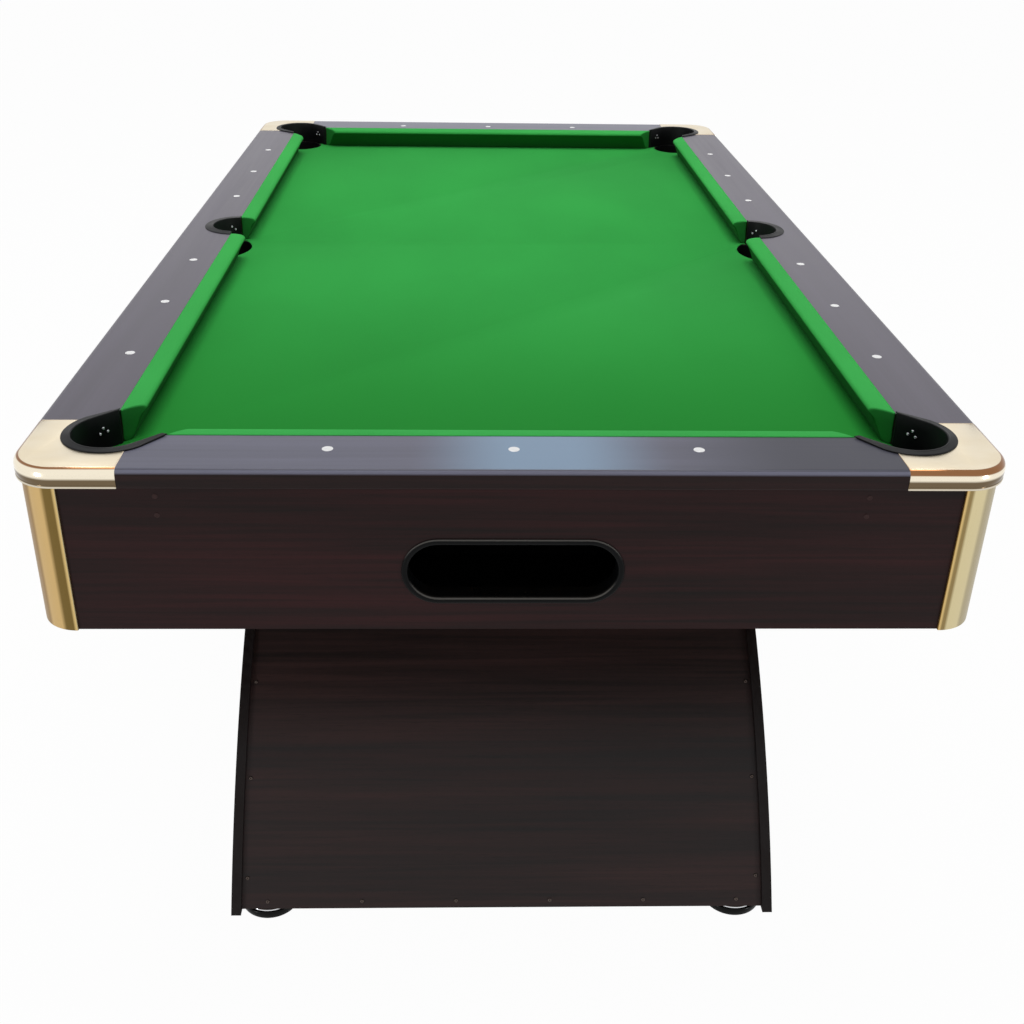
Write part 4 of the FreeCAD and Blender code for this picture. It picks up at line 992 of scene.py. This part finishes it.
def stud_part():
    """Threaded stud with a chamfered hexagon head in the foot."""
    s = sizes()
    cx, cy = (STUD_LOW.x + STUD_HIGH.x) / 2, (STUD_LOW.y + STUD_HIGH.y) / 2
    low, top = STUD_LOW.z, STUD_HIGH.z
    reach, high = (STUD_HIGH.x - STUD_LOW.x) / 2, 6.4 * MM
    head = lathe([(reach * 0.9, 0), (reach, 0.8 * MM), (reach, high - 0.8 * MM), (reach * 0.9, high)],
                 (cx, cy, low), 6)
    segments, per_turn, depth = 24, 6, 0.9 * MM
    core = s.stud_radius - depth
    run = top - low - high - 0.6 * MM
    steps = int(run / s.stud_pitch * per_turn)
    turns = [math.tau * j / segments for j in range(segments)]
    rings = []
    for k in range(steps + 1):
        z = low + high + run * k / steps
        fade = min(1, k / per_turn, (steps - k) / per_turn)
        ring = []
        for a in turns:
            lift = abs((a / math.tau - z / s.stud_pitch) % 1 * 2 - 1)
            radius = core + depth * lift * fade
            ring.append((cx + radius * math.cos(a), cy + radius * math.sin(a), z))
        rings.append(ring)
    rings.append([(cx + core * 0.8 * math.cos(a), cy + core * 0.8 * math.sin(a), top) for a in turns])
    return head, skin(rings)


def build_levellers():
    body, ring = pad_parts()
    stud = stud_part()
    for side, end, corner in CORNERS:
        add_piece(corner + "_foot_pad", [mirrored(body, side, end)], "foot",
                  body=corner + "_pad", nodes=[corner + "_leveller_pad"])
        add_piece(corner + "_foot_ring", [mirrored(ring, side, end)], "chrome",
                  body=corner + "_pad")
        add_piece(corner + "_threaded_stud", [mirrored(p, side, end) for p in stud], "zinc",
                  body=corner + "_stud", nodes=[corner + "_leveller_stud"], crease=50)


# Stage

# Width and height of the picture, in pixels
PICTURE = 1024


def camera_at(place, yaw, pitch, roll, focal_pixels, middle):
    """Camera from its fitted place, its angles in radians and its middle in the picture."""
    data = bpy.data.cameras.new("camera")
    data.sensor_width = 36
    data.lens = focal_pixels / PICTURE * data.sensor_width
    data.shift_x, data.shift_y = 0.5 - middle[0] / PICTURE, middle[1] / PICTURE - 0.5
    data.clip_end = 200
    view = bpy.data.objects.new("camera", data)
    bpy.context.scene.collection.objects.link(view)
    view.matrix_world = (Matrix.Translation(place) @ Matrix.Rotation(-yaw, 4, "Z")
                         @ Matrix.Rotation(math.pi / 2 - pitch, 4, "X") @ Matrix.Rotation(roll, 4, "Z"))
    bpy.context.scene.camera = view


def seen_directly(tree):
    """1 for camera, mirror and see-through rays, which are shown a white background."""
    path = add_node(tree, "ShaderNodeLightPath").outputs
    two = add_node(tree, "ShaderNodeMath", {0: path["Is Camera Ray"], 1: path["Is Glossy Ray"]},
                   operation="MAXIMUM")
    return add_node(tree, "ShaderNodeMath", {0: two, 1: path["Is Transmission Ray"]},
                    operation="MAXIMUM")


def build_stage():
    scene = bpy.context.scene
    scene.view_settings.view_transform = "Standard"
    camera_at(place=(-0.06091, -2.35479, 1.46982), yaw=0.02836, pitch=0.47241, roll=0.01564,
              focal_pixels=1208.37, middle=(495.24, 476.44))
    world = bpy.data.worlds.new("studio")
    scene.world = world
    world.use_nodes = True
    tree = world.node_tree
    level = add_node(tree, "ShaderNodeMapRange", {
        "Value": seen_directly(tree), "To Min": 0.22, "To Max": 1})
    set_inputs(tree.nodes["Background"], {"Color": (1, 1, 1, 1), "Strength": level})

    floor_mesh = bpy.data.meshes.new("floor")
    work = bmesh.new()
    bmesh.ops.create_grid(work, x_segments=12, y_segments=12, size=40)
    work.to_mesh(floor_mesh)
    work.free()
    floor = bpy.data.objects.new("floor", floor_mesh)
    scene.collection.objects.link(floor)
    # The floor glows for direct views, so that it is white, and its paint keeps a little of the shadow.
    material, tree, surface = new_material("matt_painted_floor", {
        "Base Color": shade(colours().floor), "Roughness": 0.9, "Specular IOR Level": 0.1})
    glow = add_node(tree, "ShaderNodeEmission", {"Color": (1, 1, 1, 1), "Strength": 1})
    share = add_node(tree, "ShaderNodeMath", {0: seen_directly(tree), 1: 0.975}, operation="MULTIPLY")
    blend = add_node(tree, "ShaderNodeMixShader", {0: share, 1: surface, 2: glow})
    set_inputs(tree.nodes["Material Output"], {"Surface": blend})
    floor_mesh.materials.append(material)

    for name, place, target, size, watts in (
            ("overhead", (0, 0.55, 4.5), (0, 0.1, 0.7), (2.8, 2.8), 108),
            ("left_strip", (-3.2, -3.6, 0.75), (0, -0.9, 0.5), (0.5, 1.4), 30),
            ("right_strip", (3.4, -3.2, 0.75), (0, -0.9, 0.5), (0.5, 1.4), 24)):
        data = bpy.data.lights.new(name, "AREA")
        data.shape, data.energy = "RECTANGLE", watts
        data.size, data.size_y = size
        lamp = bpy.data.objects.new(name, data)
        scene.collection.objects.link(lamp)
        lamp.location = place
        lamp.rotation_euler = (Vector(target) - Vector(place)).to_track_quat("-Z", "Y").to_euler()


# Operators, panel and registration

class BILLIARD_OT_stage(bpy.types.Operator):
    """Camera, lamps, world and floor"""
    bl_idname = "billiard.stage"
    bl_label = "Stage"

    def execute(self, context):
        build_stage()
        return {"FINISHED"}


class BILLIARD_OT_cabinet(bpy.types.Operator):
    """Laminate of the rails and aprons"""
    bl_idname = "billiard.cabinet"
    bl_label = "Rails and aprons"

    def execute(self, context):
        build_cabinet()
        return {"FINISHED"}


class BILLIARD_OT_sights(bpy.types.Operator):
    """White sights of the rails"""
    bl_idname = "billiard.sights"
    bl_label = "Sights"

    def execute(self, context):
        build_sights()
        return {"FINISHED"}


class BILLIARD_OT_bed(bpy.types.Operator):
    """Stretched bed cloth and its board"""
    bl_idname = "billiard.bed"
    bl_label = "Bed"

    def execute(self, context):
        build_bed()
        return {"FINISHED"}


class BILLIARD_OT_cushions(bpy.types.Operator):
    """Cloth-covered cushions"""
    bl_idname = "billiard.cushions"
    bl_label = "Cushions"

    def execute(self, context):
        build_cushions()
        return {"FINISHED"}


class BILLIARD_OT_liners(bpy.types.Operator):
    """Moulded liners of the pockets"""
    bl_idname = "billiard.liners"
    bl_label = "Pocket liners"

    def execute(self, context):
        build_liners()
        return {"FINISHED"}


class BILLIARD_OT_caps(bpy.types.Operator):
    """Plated caps of the rail corners"""
    bl_idname = "billiard.caps"
    bl_label = "Corner caps"

    def execute(self, context):
        build_caps()
        return {"FINISHED"}


class BILLIARD_OT_trims(bpy.types.Operator):
    """Brushed trims of the cabinet corners"""
    bl_idname = "billiard.trims"
    bl_label = "Corner trims"

    def execute(self, context):
        build_trims()
        return {"FINISHED"}


class BILLIARD_OT_bezel(bpy.types.Operator):
    """Bezel and box of the ball return"""
    bl_idname = "billiard.bezel"
    bl_label = "Ball return"

    def execute(self, context):
        build_bezel()
        return {"FINISHED"}


class BILLIARD_OT_framework(bpy.types.Operator):
    """Boards and bolts inside the cabinet"""
    bl_idname = "billiard.framework"
    bl_label = "Framework"

    def execute(self, context):
        build_framework()
        return {"FINISHED"}


class BILLIARD_OT_base(bpy.types.Operator):
    """Arched base and its panel screws"""
    bl_idname = "billiard.base"
    bl_label = "Base"

    def execute(self, context):
        build_base()
        return {"FINISHED"}


class BILLIARD_OT_levellers(bpy.types.Operator):
    """Levelling feet and studs"""
    bl_idname = "billiard.levellers"
    bl_label = "Levellers"

    def execute(self, context):
        build_levellers()
        return {"FINISHED"}


OPERATORS = [BILLIARD_OT_stage, BILLIARD_OT_cabinet, BILLIARD_OT_sights, BILLIARD_OT_bed,
             BILLIARD_OT_cushions, BILLIARD_OT_liners, BILLIARD_OT_caps, BILLIARD_OT_trims,
             BILLIARD_OT_bezel, BILLIARD_OT_framework, BILLIARD_OT_base, BILLIARD_OT_levellers]


class BILLIARD_PT_panel(bpy.types.Panel):
    """Sidebar panel with the sizes, the colours and each piece's button"""
    bl_label = "Billiard table"
    bl_idname = "BILLIARD_PT_panel"
    bl_space_type = "VIEW_3D"
    bl_region_type = "UI"
    bl_category = "Billiard table"

    def draw(self, context):
        layout = self.layout
        for kind in OPERATORS:
            layout.operator(kind.bl_idname)
        for group in (context.scene.billiard_sizes, context.scene.billiard_colours):
            column = layout.column()
            for key in group.bl_rna.properties.keys():
                if key not in ("rna_type", "name"):
                    column.prop(group, key)


CLASSES = [BilliardSizes, BilliardColours, *OPERATORS, BILLIARD_PT_panel]


def register():
    for kind in CLASSES:
        bpy.utils.register_class(kind)
    bpy.types.Scene.billiard_sizes = bpy.props.PointerProperty(type=BilliardSizes)
    bpy.types.Scene.billiard_colours = bpy.props.PointerProperty(type=BilliardColours)


def unregister():
    del bpy.types.Scene.billiard_colours
    del bpy.types.Scene.billiard_sizes
    for kind in reversed(CLASSES):
        bpy.utils.unregister_class(kind)


def main():
    register()
    for kind in OPERATORS:
        getattr(bpy.ops.billiard, kind.bl_idname.split(".")[1])()


if __name__ == "__main__":
    main()
